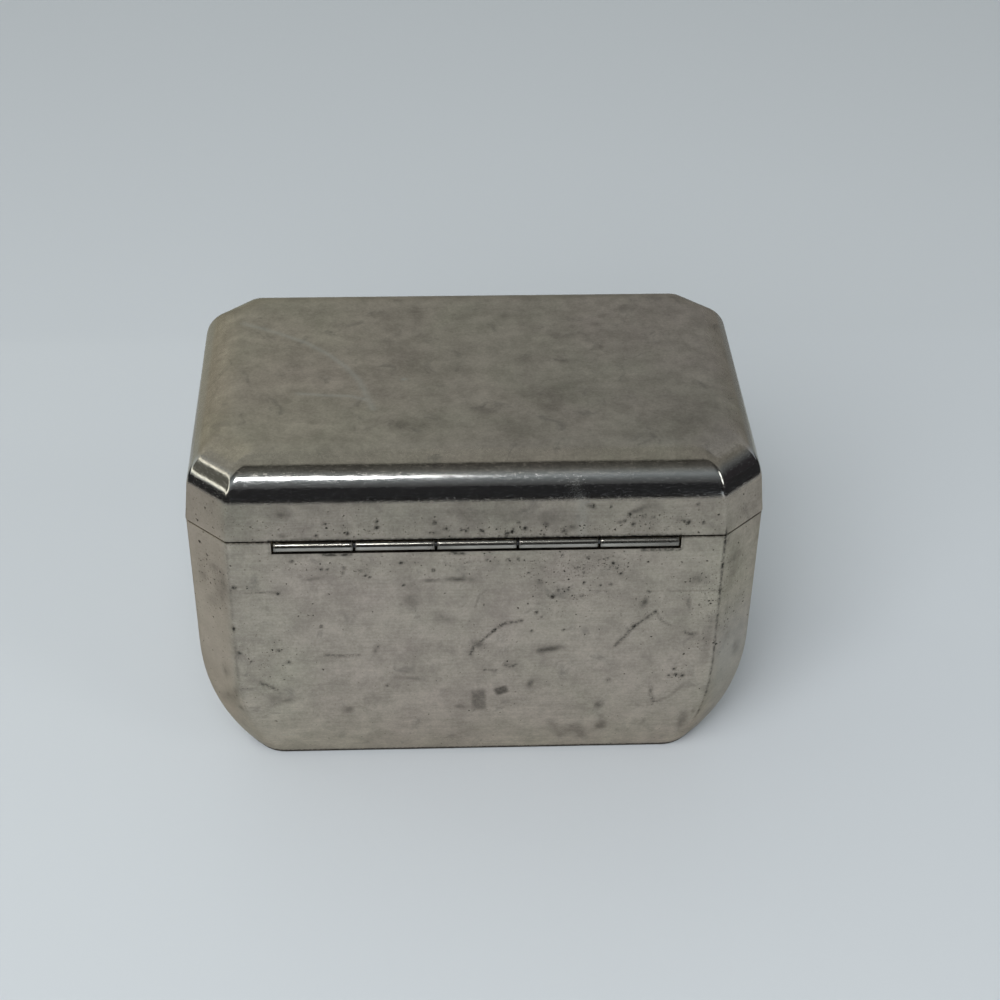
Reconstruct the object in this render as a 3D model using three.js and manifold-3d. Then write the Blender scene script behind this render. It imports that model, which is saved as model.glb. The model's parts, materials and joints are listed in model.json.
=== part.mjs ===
// Trinket box of plated sheet metal: canted corners, a curved-in foot and a lid on a flush hinge.
// Millimetres, +Z up. The origin is the centre of the underside; the hinge is at +Y, the front at -Y.
import * as THREE from 'three';
import { mergeVertices } from 'three/addons/utils/BufferGeometryUtils.js';
import Module from 'manifold-3d';

const { degToRad } = THREE.MathUtils;

// Plan outline, as it is at the lid's rim
const boxWidth = 90;
const boxDepth = 60;
const cantLeg = 6.6; // how far a canted corner cuts back along each side
const cantNarrowing = 0.33; // leg lost per millimetre that the outline draws in
const creaseRadius = 1.1; // rounding of the eight upright edges
const creaseSoftening = 0.3; // radius gained per millimetre that the outline draws in

// Body
const rimHeight = 47.9; // top edge of the wall above the table
const curveStart = 24; // below this height the wall curves in
const footInset = 7; // how far the foot lies inside the lid's outline
const wallLean = degToRad(1.2);
const wallSheet = 1;
const baseSheet = 0.8;

// Lid
const lidRise = 13; // from the lid's rim to its top
const lidEdgeRadius = 7.6;
const lidLean = degToRad(5);
const lidSheet = 1;
const lidOverhang = 0.1; // how far the lid's rim stands out past the wall

// Hinge
const hingeLength = 62.5;
const knuckleDiameter = 1.9;
const knuckleGap = 0.3; // between neighbouring knuckles, and at the ends of the row
const knuckleProud = 0.25; // how far the knuckles stand out of the rear wall
const knuckleClearance = 0.15; // above and below the knuckles, in their notch
const pinDiameter = 0.8;
const pinClearance = 0.07;
const swingClearance = 0.06; // left between the two rims where they pass closest as the lid turns
const solderGap = 0.15; // between soldered pieces
const bearerWall = 1; // metal behind a bearer's groove
const bearerReach = 2.4; // how far a bearer runs up or down the sheet that carries it

// Collar inside the rim
const bezelSheet = 0.8;
const bezelRise = 2.2; // above the body's rim
const bezelDepth = 5; // below the body's rim
const bezelClearance = 0.3;
const bezelChamfer = 0.3;

// Thumb lift on the lid's front edge
const liftWidth = 14;
const liftProjection = 3;
const liftThickness = 1.4;
const liftBevel = 0.35;

// Facets
const creaseShare = 0.96; // the most of a cant that its two roundings may take up
const creaseSteps = 3;
const wallSteps = 8;
const lidEdgeSteps = 7;
const grooveSteps = 4;
const roundSteps = 10;

// Hinge axis: tucked into the rear wall, just under the rim
const knuckleRadius = knuckleDiameter / 2;
const axisInset = knuckleRadius - knuckleProud;
const axisDrop = knuckleRadius + knuckleClearance;
const axisY = boxDepth / 2 - lidOverhang - axisInset;
const axisZ = rimHeight - axisDrop;
const notchLength = hingeLength + 2 * knuckleGap;

// The lid's rim sits as far above the body's rim as its turn needs
const partingGap = Math.hypot(axisInset, axisDrop) - axisDrop + swingClearance;
const lidRimHeight = rimHeight + partingGap;
const lidTop = lidRimHeight + lidRise;

// Wall profile: a straight lean, then an arc that runs on from it to the foot
const straightInset = lidOverhang + (rimHeight - curveStart) * Math.tan(wallLean);
const chordIn = footInset - straightInset;
const chordDown = curveStart - baseSheet;
const chordAcross = chordIn * Math.cos(wallLean) - chordDown * Math.sin(wallLean);
const curveRadius = (chordIn ** 2 + chordDown ** 2) / (2 * chordAcross);
const curveCentreInset = straightInset + curveRadius * Math.cos(wallLean);
const curveCentreZ = curveStart + curveRadius * Math.sin(wallLean);

// Lid profile: a leaning wall, then the rounded edge up to the flat top
const edgeCentreZ = lidTop - lidEdgeRadius;
const edgeStartZ = edgeCentreZ + lidEdgeRadius * Math.sin(lidLean);
const edgeCentreInset = (edgeStartZ - lidRimHeight) * Math.tan(lidLean) + lidEdgeRadius * Math.cos(lidLean);

const wasm = await Module();
wasm.setup();

function toSolid(geometry) {
  const bare = geometry.clone();
  bare.deleteAttribute('normal');
  bare.deleteAttribute('uv');
  const merged = mergeVertices(bare);
  const vertProperties = new Float32Array(merged.attributes.position.array);
  const triVerts = new Uint32Array(merged.index.array);
  return new wasm.Manifold(new wasm.Mesh({ numProp: 3, vertProperties, triVerts }));
}

function cutAway(geometry, cutter) {
  const { vertProperties, triVerts } = toSolid(geometry).subtract(toSolid(cutter)).getMesh();
  const result = new THREE.BufferGeometry();
  result.setAttribute('position', new THREE.BufferAttribute(vertProperties, 3));
  result.setIndex(new THREE.BufferAttribute(triVerts, 1));
  result.computeVertexNormals();
  return result;
}

// Canted rectangle, counter-clockwise: drawn in by the profile, then set back by a sheet's thickness
function outline(inset, setback = 0) {
  const halfWidth = boxWidth / 2 - inset - setback;
  const halfDepth = boxDepth / 2 - inset - setback;
  const leg = cantLeg - cantNarrowing * inset - (2 - Math.SQRT2) * setback;
  const eighthTurn = Math.PI / 4;
  const largestRadius = (creaseShare * leg * Math.SQRT1_2) / Math.tan(eighthTurn / 2);
  const softened = creaseRadius + creaseSoftening * inset - setback;
  const radius = Math.min(Math.max(softened, solderGap), largestRadius);
  const corners = [
    [halfWidth, halfDepth - leg],
    [halfWidth - leg, halfDepth],
    [leg - halfWidth, halfDepth],
    [-halfWidth, halfDepth - leg],
    [-halfWidth, leg - halfDepth],
    [leg - halfWidth, -halfDepth],
    [halfWidth - leg, -halfDepth],
    [halfWidth, leg - halfDepth],
  ];
  return corners.flatMap(([x, y], corner) => {
    const middle = (corner + 0.5) * eighthTurn;
    const toCentre = radius / Math.cos(eighthTurn / 2);
    const centre = new THREE.Vector2(x - toCentre * Math.cos(middle), y - toCentre * Math.sin(middle));
    return Array.from({ length: creaseSteps + 1 }, (_, step) => {
      const angle = (corner + step / creaseSteps) * eighthTurn;
      return new THREE.Vector2(centre.x + radius * Math.cos(angle), centre.y + radius * Math.sin(angle));
    });
  });
}

const ring = (z, inset, setback = 0) => outline(inset, setback).map((p) => new THREE.Vector3(p.x, p.y, z));

// Joins rings into one closed solid: back to the first ring, or with a flat cap on each end
function loft(rings, isLoop) {
  const count = rings[0].length;
  const index = [];
  const bands = isLoop ? rings.length : rings.length - 1;
  for (let band = 0; band < bands; band += 1) {
    const here = band * count;
    const there = ((band + 1) % rings.length) * count;
    for (let point = 0; point < count; point += 1) {
      const next = (point + 1) % count;
      index.push(here + point, here + next, there + next);
      index.push(here + point, there + next, there + point);
    }
  }
  if (!isLoop) {
    const last = (rings.length - 1) * count;
    for (let point = 1; point < count - 1; point += 1) {
      index.push(0, point + 1, point);
      index.push(last, last + point, last + point + 1);
    }
  }
  const geometry = new THREE.BufferGeometry().setFromPoints(rings.flat());
  geometry.setIndex(index);
  geometry.computeVertexNormals();
  return geometry;
}

// How far the wall's outer face lies inside the lid's outline, at a height
function wallInset(z) {
  if (z >= curveStart) return lidOverhang + (rimHeight - z) * Math.tan(wallLean);
  return curveCentreInset - Math.sqrt(curveRadius ** 2 - (curveCentreZ - z) ** 2);
}

// How far the wall's inner face lies behind its outer face, at a height
function wallSetback(z) {
  if (z >= curveStart) return wallSheet / Math.cos(wallLean);
  const innerRadius = curveRadius - wallSheet;
  return curveCentreInset - Math.sqrt(innerRadius ** 2 - (curveCentreZ - z) ** 2) - wallInset(z);
}

const lidWallInset = (z) => (z - lidRimHeight) * Math.tan(lidLean);
const lidWallSetback = lidSheet / Math.cos(lidLean);

function bodyWall() {
  const footAngle = Math.asin((curveCentreZ - baseSheet) / curveRadius);
  const heights = Array.from({ length: wallSteps + 1 }, (_, step) => {
    const angle = THREE.MathUtils.lerp(footAngle, wallLean, step / wallSteps);
    return curveCentreZ - curveRadius * Math.sin(angle);
  });
  heights[0] = baseSheet;
  heights.push(rimHeight);
  const outside = heights.map((z) => ring(z, wallInset(z)));
  const inside = heights.map((z) => ring(z, wallInset(z), wallSetback(z)));
  const notchDepth = 2 * axisDrop;
  const notch = new THREE.BoxGeometry(notchLength, 4 * wallSheet, 2 * notchDepth);
  notch.translate(0, boxDepth / 2, rimHeight);
  return cutAway(loft([...outside, ...inside.reverse()], true), notch);
}

function basePlate() {
  const foot = outline(wallInset(baseSheet));
  return new THREE.ExtrudeGeometry(new THREE.Shape(foot), { depth: baseSheet, bevelEnabled: false });
}

function lidShell() {
  const angles = Array.from({ length: lidEdgeSteps + 1 }, (_, step) =>
    THREE.MathUtils.lerp(lidLean, Math.PI / 2, step / lidEdgeSteps),
  );
  const outerInset = (angle) => edgeCentreInset - lidEdgeRadius * Math.cos(angle);
  const outside = angles.map((angle) =>
    ring(edgeCentreZ + lidEdgeRadius * Math.sin(angle), outerInset(angle)),
  );
  const innerRadius = lidEdgeRadius - lidSheet;
  const inside = angles.map((angle) =>
    ring(edgeCentreZ + innerRadius * Math.sin(angle), outerInset(angle), lidSheet * Math.cos(angle)),
  );
  const rimOuter = ring(lidRimHeight, 0);
  const rimInner = ring(lidRimHeight, 0, lidWallSetback);
  return loft([...inside.reverse(), rimInner, rimOuter, ...outside], false);
}

function rimBezel() {
  const behindWall = wallInset(rimHeight - bezelDepth) + wallSetback(rimHeight - bezelDepth);
  const behindLid = lidWallInset(rimHeight + bezelRise) + lidWallSetback;
  const outer = Math.max(behindWall, behindLid) + bezelClearance - lidOverhang;
  const inner = outer + bezelSheet;
  const bottom = rimHeight - bezelDepth;
  const top = rimHeight + bezelRise;
  const collar = loft(
    [
      ring(bottom, lidOverhang, outer),
      ring(top - bezelChamfer, lidOverhang, outer),
      ring(top, lidOverhang, outer + bezelChamfer),
      ring(top, lidOverhang, inner),
      ring(bottom, lidOverhang, inner),
    ],
    true,
  );
  const hingeBreak = new THREE.BoxGeometry(notchLength, boxDepth, 2 * (bezelDepth + bezelRise));
  hingeBreak.translate(0, boxDepth / 2, rimHeight);
  return cutAway(collar, hingeBreak);
}

// A bar along the hinge whose section is drawn as (out, up) from the hinge axis
function hingeBar(section) {
  const bar = new THREE.ExtrudeGeometry(section, { depth: hingeLength, bevelEnabled: false });
  bar.translate(0, 0, -hingeLength / 2);
  bar.applyMatrix4(
    new THREE.Matrix4().makeBasis(
      new THREE.Vector3(0, 1, 0),
      new THREE.Vector3(0, 0, 1),
      new THREE.Vector3(1, 0, 0),
    ),
  );
  return bar;
}

const grooveRadius = knuckleRadius + solderGap;
const bearerBack = -(grooveRadius + bearerWall);
const bearerParting = solderGap; // each bearer stops this far from the level of the axis

// Points of the groove round the knuckles, from one place across to another
function groove(fromAngle, toAngle) {
  return Array.from({ length: grooveSteps + 1 }, (_, step) => {
    const angle = THREE.MathUtils.lerp(fromAngle, toAngle, step / grooveSteps);
    return new THREE.Vector2(grooveRadius * Math.cos(angle), grooveRadius * Math.sin(angle));
  });
}

function lidBearer() {
  const top = lidRimHeight + bearerReach;
  const faceAt = (z) => boxDepth / 2 - lidWallInset(z) - lidWallSetback - solderGap - axisY;
  const rimFace = faceAt(lidRimHeight);
  const partingAngle = Math.PI - Math.asin(bearerParting / grooveRadius);
  const section = new THREE.Shape([
    new THREE.Vector2(faceAt(top), top - axisZ),
    new THREE.Vector2(bearerBack, top - axisZ),
    new THREE.Vector2(bearerBack, bearerParting),
    ...groove(partingAngle, Math.acos(rimFace / grooveRadius)),
    new THREE.Vector2(rimFace, lidRimHeight - axisZ),
  ]);
  return hingeBar(section);
}

function bodyBearer() {
  const bottom = axisZ - axisDrop - bearerReach;
  const faceAt = (z) => boxDepth / 2 - wallInset(z) - wallSetback(z) - solderGap - axisY;
  const notchFace = faceAt(axisZ - axisDrop);
  const partingAngle = Math.PI + Math.asin(bearerParting / grooveRadius);
  const section = new THREE.Shape([
    new THREE.Vector2(bearerBack, bottom - axisZ),
    new THREE.Vector2(faceAt(bottom), bottom - axisZ),
    ...groove(2 * Math.PI - Math.acos(notchFace / grooveRadius), partingAngle),
    new THREE.Vector2(bearerBack, -bearerParting),
  ]);
  return hingeBar(section);
}

const knuckleCount = 5;
const knuckleLength = (hingeLength - (knuckleCount - 1) * knuckleGap) / knuckleCount;

function knuckle() {
  const section = new THREE.Shape().absarc(0, 0, knuckleRadius, 0, 2 * Math.PI);
  section.holes.push(new THREE.Path().absarc(0, 0, pinDiameter / 2 + pinClearance, 0, 2 * Math.PI, true));
  const tube = new THREE.ExtrudeGeometry(section, {
    depth: knuckleLength,
    bevelEnabled: false,
    curveSegments: roundSteps,
  });
  return tube.translate(0, 0, -knuckleLength / 2).rotateY(Math.PI / 2);
}

function hingePin() {
  const pin = new THREE.CylinderGeometry(pinDiameter / 2, pinDiameter / 2, hingeLength, 2 * roundSteps);
  return pin.rotateZ(Math.PI / 2);
}

// Half-moon tab, its straight back against the lid's front wall
function thumbLift() {
  const halfWidth = liftWidth / 2;
  const radius = (halfWidth ** 2 + liftProjection ** 2) / (2 * liftProjection);
  const halfAngle = Math.asin(halfWidth / radius);
  const middle = -Math.PI / 2;
  const centreY = radius - liftProjection;
  const section = new THREE.Shape().absarc(0, centreY, radius, middle - halfAngle, middle + halfAngle);
  return new THREE.ExtrudeGeometry(section, {
    depth: liftThickness - 2 * liftBevel,
    bevelThickness: liftBevel,
    bevelSize: liftBevel,
    bevelOffset: -liftBevel,
    bevelSegments: 2,
    curveSegments: roundSteps,
  });
}

// Finishes
const wornPlate = { color: 0xa39d93, roughness: 0.32, metalness: 1 };
const polishedPlate = { color: 0xb5afa6, roughness: 0.2, metalness: 1 };
const dullBrass = { color: 0x8f8570, roughness: 0.45, metalness: 1 };
const steelWire = { color: 0x8a8c8f, roughness: 0.3, metalness: 1 };

function piece(name, geometry, finish) {
  const mesh = new THREE.Mesh(geometry, new THREE.MeshStandardMaterial(finish));
  mesh.name = name;
  return mesh;
}

const box = new THREE.Group();
const body = new THREE.Group();
const lid = new THREE.Group();
box.add(body, lid);

body.add(piece('body_wall', bodyWall(), wornPlate));
body.add(piece('base_plate', basePlate(), wornPlate));
body.add(piece('rim_bezel', rimBezel(), dullBrass));
lid.add(piece('lid_shell', lidShell(), wornPlate));

const lift = piece('thumb_lift', thumbLift(), polishedPlate);
lift.position.set(0, -boxDepth / 2, lidRimHeight + liftBevel + solderGap);
lid.add(lift);

// The hinge, about its axis: knuckles alternate between body and lid, left to right seen from the front
const bodyHinge = new THREE.Group();
const lidHinge = new THREE.Group();
bodyHinge.position.set(0, axisY, axisZ);
lidHinge.position.set(0, axisY, axisZ);
body.add(bodyHinge);
lid.add(lidHinge);
bodyHinge.add(piece('body_hinge_bearer', bodyBearer(), dullBrass));
lidHinge.add(piece('lid_hinge_bearer', lidBearer(), dullBrass));
bodyHinge.add(piece('hinge_pin', hingePin(), steelWire));

const knuckleNames = [
  'body_knuckle_left',
  'lid_knuckle_left',
  'body_knuckle_middle',
  'lid_knuckle_right',
  'body_knuckle_right',
];
knuckleNames.forEach((name, place) => {
  const tube = piece(name, knuckle(), polishedPlate);
  tube.position.x = (place - (knuckleCount - 1) / 2) * (knuckleLength + knuckleGap);
  (name.startsWith('lid') ? lidHinge : bodyHinge).add(tube);
});

export default box;
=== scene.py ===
# %% [markdown]
# # A worn silver-plated trinket box
# A small metal box with canted corners, seen from its hinge side. The lid is one pressed sheet with a big
# rounded edge, the body is one soldered strip that curves in at the foot, and a flush hinge of five
# knuckles joins them. The lesson builds each sheet as a numpy surface on a grid, then ages the plating
# with procedural nodes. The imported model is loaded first, because it fixes every size and every joint.

# %% Load the frame
import json
import math

import bpy
import numpy as np
from mathutils import Matrix, Vector


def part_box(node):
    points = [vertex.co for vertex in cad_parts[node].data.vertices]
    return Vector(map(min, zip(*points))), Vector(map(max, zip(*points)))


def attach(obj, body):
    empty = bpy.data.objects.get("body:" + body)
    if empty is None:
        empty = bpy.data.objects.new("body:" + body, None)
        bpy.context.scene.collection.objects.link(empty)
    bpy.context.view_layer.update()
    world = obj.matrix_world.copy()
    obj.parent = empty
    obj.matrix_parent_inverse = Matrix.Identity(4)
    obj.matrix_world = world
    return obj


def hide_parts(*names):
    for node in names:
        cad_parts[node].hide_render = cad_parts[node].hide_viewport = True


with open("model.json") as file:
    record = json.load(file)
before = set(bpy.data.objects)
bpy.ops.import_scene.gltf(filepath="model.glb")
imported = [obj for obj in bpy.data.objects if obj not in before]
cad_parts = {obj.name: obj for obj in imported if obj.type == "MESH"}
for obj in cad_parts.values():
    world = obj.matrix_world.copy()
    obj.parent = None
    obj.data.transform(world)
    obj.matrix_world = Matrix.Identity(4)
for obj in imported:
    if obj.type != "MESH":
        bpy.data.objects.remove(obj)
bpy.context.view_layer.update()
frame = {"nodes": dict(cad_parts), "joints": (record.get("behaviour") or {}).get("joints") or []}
MM = 0.001
scene = bpy.context.scene
scene.view_settings.view_transform = "Standard"

# %% [markdown]
# ## Sizes
# The outer sizes are read from the solids' own boxes, so nothing has to be fitted afterwards. Only what a
# box can't tell, such as the cant of a corner or the lean of a wall, is written here as a named value.

# %% Sizes from the frame
_, wall_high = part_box("body_wall")
_, plate_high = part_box("base_plate")
lid_low, lid_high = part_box("lid_shell")
WIDTH = lid_high.x - lid_low.x
DEPTH = lid_high.y - lid_low.y
BASE_TOP = plate_high.z
RIM = wall_high.z
LID_RIM = lid_low.z
LID_TOP = lid_high.z
OVERHANG = lid_high.x - wall_high.x
FOOT_INSET = lid_high.x - plate_high.x

CANT_LEG = 6.6 * MM
CANT_NARROWING = 0.33
CREASE_RADIUS = 1.1 * MM
FOOT_SOFTENING = 0.6
LID_SOFTENING = 0.15
CURVE_START = 24 * MM
WALL_LEAN = math.radians(1.2)
LID_LEAN = math.radians(5)
LID_EDGE_RADIUS = 7.6 * MM
SHEET = 1.0 * MM
RIM_ROUND = 0.12 * MM
print("width, depth, height", [round(v / MM, 2) for v in (WIDTH, DEPTH, LID_TOP)])

# %% [markdown]
# ## Camera
# The camera comes first, because every later choice is judged through it. It stands behind the box, about
# a third of a metre away and 34 degrees up, with a long lens. Its axes are written out as three vectors,
# so that the small turn and roll of a hand-held shot are plain numbers.

# %% Camera at the photograph's angle
PHOTO_PIXELS = 1000
FOCAL_PIXELS = 2192
VIEW_YAW = 0.0491
VIEW_PITCH = 0.5897
VIEW_ROLL = -0.0129
VIEW_DISTANCE = 4.091 * WIDTH
VIEW_TARGET = Vector((-0.0548 * WIDTH, 0, 0.3904 * WIDTH))


def photo_camera():
    """Camera looking along -Y, turned by the yaw, tipped down by the pitch and rolled about its own axis."""
    level = math.cos(VIEW_PITCH)
    forward = Vector((-math.sin(VIEW_YAW) * level, -math.cos(VIEW_YAW) * level, -math.sin(VIEW_PITCH)))
    right = Vector((-math.cos(VIEW_YAW), math.sin(VIEW_YAW), 0))
    down = forward.cross(right)
    rolled_right = math.cos(VIEW_ROLL) * right + math.sin(VIEW_ROLL) * down
    rolled_down = math.cos(VIEW_ROLL) * down - math.sin(VIEW_ROLL) * right
    data = bpy.data.cameras.new("photo_camera")
    data.sensor_width = 36
    data.lens = FOCAL_PIXELS / PHOTO_PIXELS * data.sensor_width
    data.clip_start = 0.01
    camera = bpy.data.objects.new("photo_camera", data)
    axes = Matrix((rolled_right, -rolled_down, -forward)).transposed().to_4x4()
    camera.matrix_world = Matrix.Translation(VIEW_TARGET - VIEW_DISTANCE * forward) @ axes
    scene.collection.objects.link(camera)
    return camera


scene.camera = photo_camera()
print("camera at", [round(v, 3) for v in scene.camera.matrix_world.translation])

# %% [markdown]
# ## Grids
# Every sheet here is the same idea: a ring that follows the box's plan, carried up a profile. One
# function gives the plan for a whole stack of rings at once, and one turns a grid of points into a mesh.

# %% The plan outline
EIGHTH = math.pi / 4
CORNER_X = np.array([1, 1, -1, -1, -1, -1, 1, 1])
CORNER_Y = np.array([1, 1, 1, 1, -1, -1, -1, -1])
ON_SIDE = np.array([True, False, False, True, True, False, False, True])
CREASE_SHARE = 0.96
SMALLEST_CREASE = 0.15 * MM


def outline(inset, setback, stations, softening):
    """Canted rectangle for each ring and station, an array of (rings, stations, 2).
    Half sizes lose the inset and the setback; a cant's leg loses 0.33 of the inset and 2 - sqrt 2 of the
    setback. Each corner is an arc of radius rho, which grows with the inset by the softening, and a station
    is a blend of two points on such arcs."""
    inset, setback = np.broadcast_arrays(np.atleast_1d(inset).astype(float), setback)
    half_x = (WIDTH / 2 - inset - setback)[:, None]
    half_y = (DEPTH / 2 - inset - setback)[:, None]
    leg = (CANT_LEG - CANT_NARROWING * inset - (2 - math.sqrt(2)) * setback)[:, None]
    largest = CREASE_SHARE * leg * math.sqrt(0.5) / math.tan(EIGHTH / 2)
    wanted = np.maximum(CREASE_RADIUS + softening * inset - setback, SMALLEST_CREASE)[:, None]
    rho = np.minimum(wanted, largest)
    middle = (np.arange(8) + 0.5) * EIGHTH
    reach = rho / math.cos(EIGHTH / 2)
    centre_x = CORNER_X * np.where(ON_SIDE, half_x, half_x - leg) - reach * np.cos(middle)
    centre_y = CORNER_Y * np.where(ON_SIDE, half_y - leg, half_y) - reach * np.sin(middle)

    def on_arc(corner, angle):
        """Point on a corner's arc: its centre plus rho along the angle."""
        x = centre_x[:, corner] + rho * np.cos(angle)
        y = centre_y[:, corner] + rho * np.sin(angle)
        return np.stack([x, y], axis=-1)

    blend = stations["blend"][None, :, None]
    start = on_arc(stations["corner"], stations["angle"])
    end = on_arc(stations["next_corner"], stations["angle"])
    return (1 - blend) * start + blend * end


def ring_stations(fractions, arc_steps=5):
    """Stations once round the plan: eight corner arcs, each followed by the given fractions of its side."""
    parts = []
    for corner in range(8):
        arc = (corner + np.linspace(0, 1, arc_steps + 1)) * EIGHTH
        side = np.asarray(fractions[corner])
        angle = np.concatenate([arc, np.full(side.size, (corner + 1) * EIGHTH)])
        blend = np.concatenate([np.zeros(arc.size), side])
        parts.append((np.full(angle.size, corner), angle, np.full(angle.size, (corner + 1) % 8), blend))
    corner, angle, next_corner, blend = (np.concatenate(column) for column in zip(*parts))
    return {"corner": corner, "next_corner": next_corner, "angle": angle, "blend": blend}


def even(count):
    """The given number of even fractions between 0 and 1, without the ends."""
    return np.linspace(0, 1, count + 2)[1:-1]


def rings(inset, setback, height, stations, softening=FOOT_SOFTENING):
    """Points of a stack of rings: the plan outline of each ring, lifted to its height."""
    plan = outline(inset, setback, stations, softening)
    lifted = np.broadcast_to(np.asarray(height, float)[:, None, None], plan.shape[:2] + (1,))
    return np.concatenate([plan, lifted], axis=-1)


print("plan outline ready: eight corner arcs and eight sides")


# %% From a grid to a mesh
def grid_quads(rows, columns, close_rows=False, close_columns=True):
    """Corner numbers of each quad of a grid, counter-clockwise seen from outside when rows climb."""
    row = np.arange(rows if close_rows else rows - 1)[:, None]
    column = np.arange(columns if close_columns else columns - 1)[None, :]
    next_row = (row + 1) % rows
    next_column = (column + 1) % columns
    corners = [row * columns + column, row * columns + next_column]
    corners += [next_row * columns + next_column, next_row * columns + column]
    return np.stack(np.broadcast_arrays(*corners), axis=-1)


def make_piece(name, points, faces, sharp_degrees=40):
    """Puts an array of points and lists of faces into a smooth mesh object at the origin."""
    mesh = bpy.data.meshes.new(name)
    mesh.from_pydata(np.asarray(points).reshape(-1, 3).tolist(), [], faces)
    mesh.polygons.foreach_set("use_smooth", np.ones(len(mesh.polygons), dtype=bool))
    mesh.set_sharp_from_angle(angle=math.radians(sharp_degrees))
    mesh.update()
    piece = bpy.data.objects.new(name, mesh)
    scene.collection.objects.link(piece)
    print(name, "vertices", len(mesh.vertices), "faces", len(mesh.polygons))
    return piece


def open_strip(name, points, sharp_degrees):
    """A closed section carried along an open path, with a flat cap at each end."""
    rows, columns = points.shape[:2]
    quads = grid_quads(rows, columns, close_rows=True, close_columns=False).reshape(-1, 4).tolist()
    first_cap = (np.arange(rows) * columns).tolist()
    last_cap = (np.arange(rows)[::-1] * columns + columns - 1).tolist()
    return make_piece(name, points, quads + [first_cap, last_cap], sharp_degrees)


def pole_faces(rows, columns):
    """Triangles from a pole below the first ring and from a pole above the last one."""
    column = np.arange(columns)
    after = (column + 1) % columns
    first_pole, last_pole = rows * columns, rows * columns + 1
    low = np.stack([np.full(columns, first_pole), after, column], axis=-1)
    last = (rows - 1) * columns
    high = np.stack([np.full(columns, last_pole), last + column, last + after], axis=-1)
    return low.tolist() + high.tolist()


def poled_piece(name, points):
    """A closed piece from a grid whose first and last rings shrink to a point on the Z axis."""
    rows, columns = points.shape[:2]
    poles = np.array([[0, 0, points[0, 0, 2]], [0, 0, points[-1, 0, 2]]])
    vertices = np.concatenate([points.reshape(-1, 3), poles])
    faces = grid_quads(rows, columns).reshape(-1, 4).tolist() + pole_faces(rows, columns)
    return make_piece(name, vertices, faces)


def unroll(piece, points, rim_row, kept=None):
    """Gives a piece of the sheet its own map in millimetres: across is the way round the rim, up is the way
    along the profile. The quads come first among the faces, so their corners are filled in order."""
    rows, columns = points.shape[:2]
    closing = np.concatenate([points[rim_row, 1:], points[rim_row, :1]])
    step = np.linalg.norm(closing - points[rim_row], axis=-1) / MM
    start = np.cumsum(step) - step
    climb = np.linalg.norm(np.diff(points[:, 0], axis=0), axis=-1) / MM
    low = np.concatenate([[0.0], np.cumsum(climb)])
    high = np.concatenate([low[1:], low[-1:]])
    across = np.stack([start, start + step, start + step, start], axis=-1)[None]
    upward = np.stack([low, low, high, high], axis=-1)[:, None]
    corners = np.stack(np.broadcast_arrays(across, upward), axis=-1)
    corners = corners[: rows - 1].reshape(-1, 2) if kept is None else corners[kept].reshape(-1, 2)
    values = np.zeros((len(piece.data.loops), 2), dtype=np.float32)
    values[: len(corners)] = corners
    piece.data.uv_layers.new(name="sheet").uv.foreach_set("vector", values.ravel())
    print(piece.name, "sheet map mm", values.max(axis=0).round(1))


def shrink_to_middle(ring, shares):
    """Copies of one flat ring, each drawn in towards the Z axis by its share."""
    return ring * np.stack([shares, shares, np.ones_like(shares)], axis=-1)[:, None, :]


print("grid helpers ready")

# %% [markdown]
# ## Body wall
# The wall is a strip of sheet bent round the plan and soldered up one rear edge. It leans in slightly,
# then follows an arc to the foot. It could be an extrusion with bevels, but a profile carried round the
# plan keeps the sheet's thickness true everywhere. The hinge notch is left out of the grid and its three
# cut faces are added, which is cleaner than a boolean on a dense mesh.

# %% Body wall profile
straight_inset = OVERHANG + (RIM - CURVE_START) * math.tan(WALL_LEAN)
chord_in = FOOT_INSET - straight_inset
chord_down = CURVE_START - BASE_TOP
chord_across = chord_in * math.cos(WALL_LEAN) - chord_down * math.sin(WALL_LEAN)
CURVE_RADIUS = (chord_in**2 + chord_down**2) / (2 * chord_across)
curve_in = straight_inset + CURVE_RADIUS * math.cos(WALL_LEAN)
curve_up = CURVE_START + CURVE_RADIUS * math.sin(WALL_LEAN)


def wall_inset(z, depth_in_sheet=0.0):
    """Inset of the wall at height z: a straight lean above the curve, a circle about one centre below it."""
    lean = OVERHANG + (RIM - z) * math.tan(WALL_LEAN) + depth_in_sheet / math.cos(WALL_LEAN)
    circle = (CURVE_RADIUS - depth_in_sheet) ** 2 - (curve_up - np.minimum(z, CURVE_START)) ** 2
    return np.where(z >= CURVE_START, lean, curve_in - np.sqrt(circle))


print("wall curve radius mm", round(CURVE_RADIUS / MM, 1))

# %% Body wall
hinge_pos = Vector(frame["joints"][0]["pos_m"])
_, pin_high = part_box("hinge_pin")
NOTCH_CLEARANCE = 0.3 * MM
NOTCH_SLACK = 0.05 * MM
NOTCH_HALF = pin_high.x + NOTCH_CLEARANCE
NOTCH_BOTTOM = 2 * hinge_pos.z - RIM

side_half = WIDTH / 2 - OVERHANG - CANT_LEG - CREASE_RADIUS * math.tan(EIGHTH / 2)
notch_start = (side_half - NOTCH_HALF) / (2 * side_half)
beside_notch = even(18) * notch_start
along_notch = np.linspace(notch_start, 1 - notch_start, 231)
rear_fractions = np.concatenate([beside_notch, along_notch, 1 - beside_notch[::-1]])
body_sides = [even(count) for count in (8, 0, 8, 24, 5, 36, 5, 24)]
body_sides[1] = rear_fractions
body_stations = ring_stations(body_sides)


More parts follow.
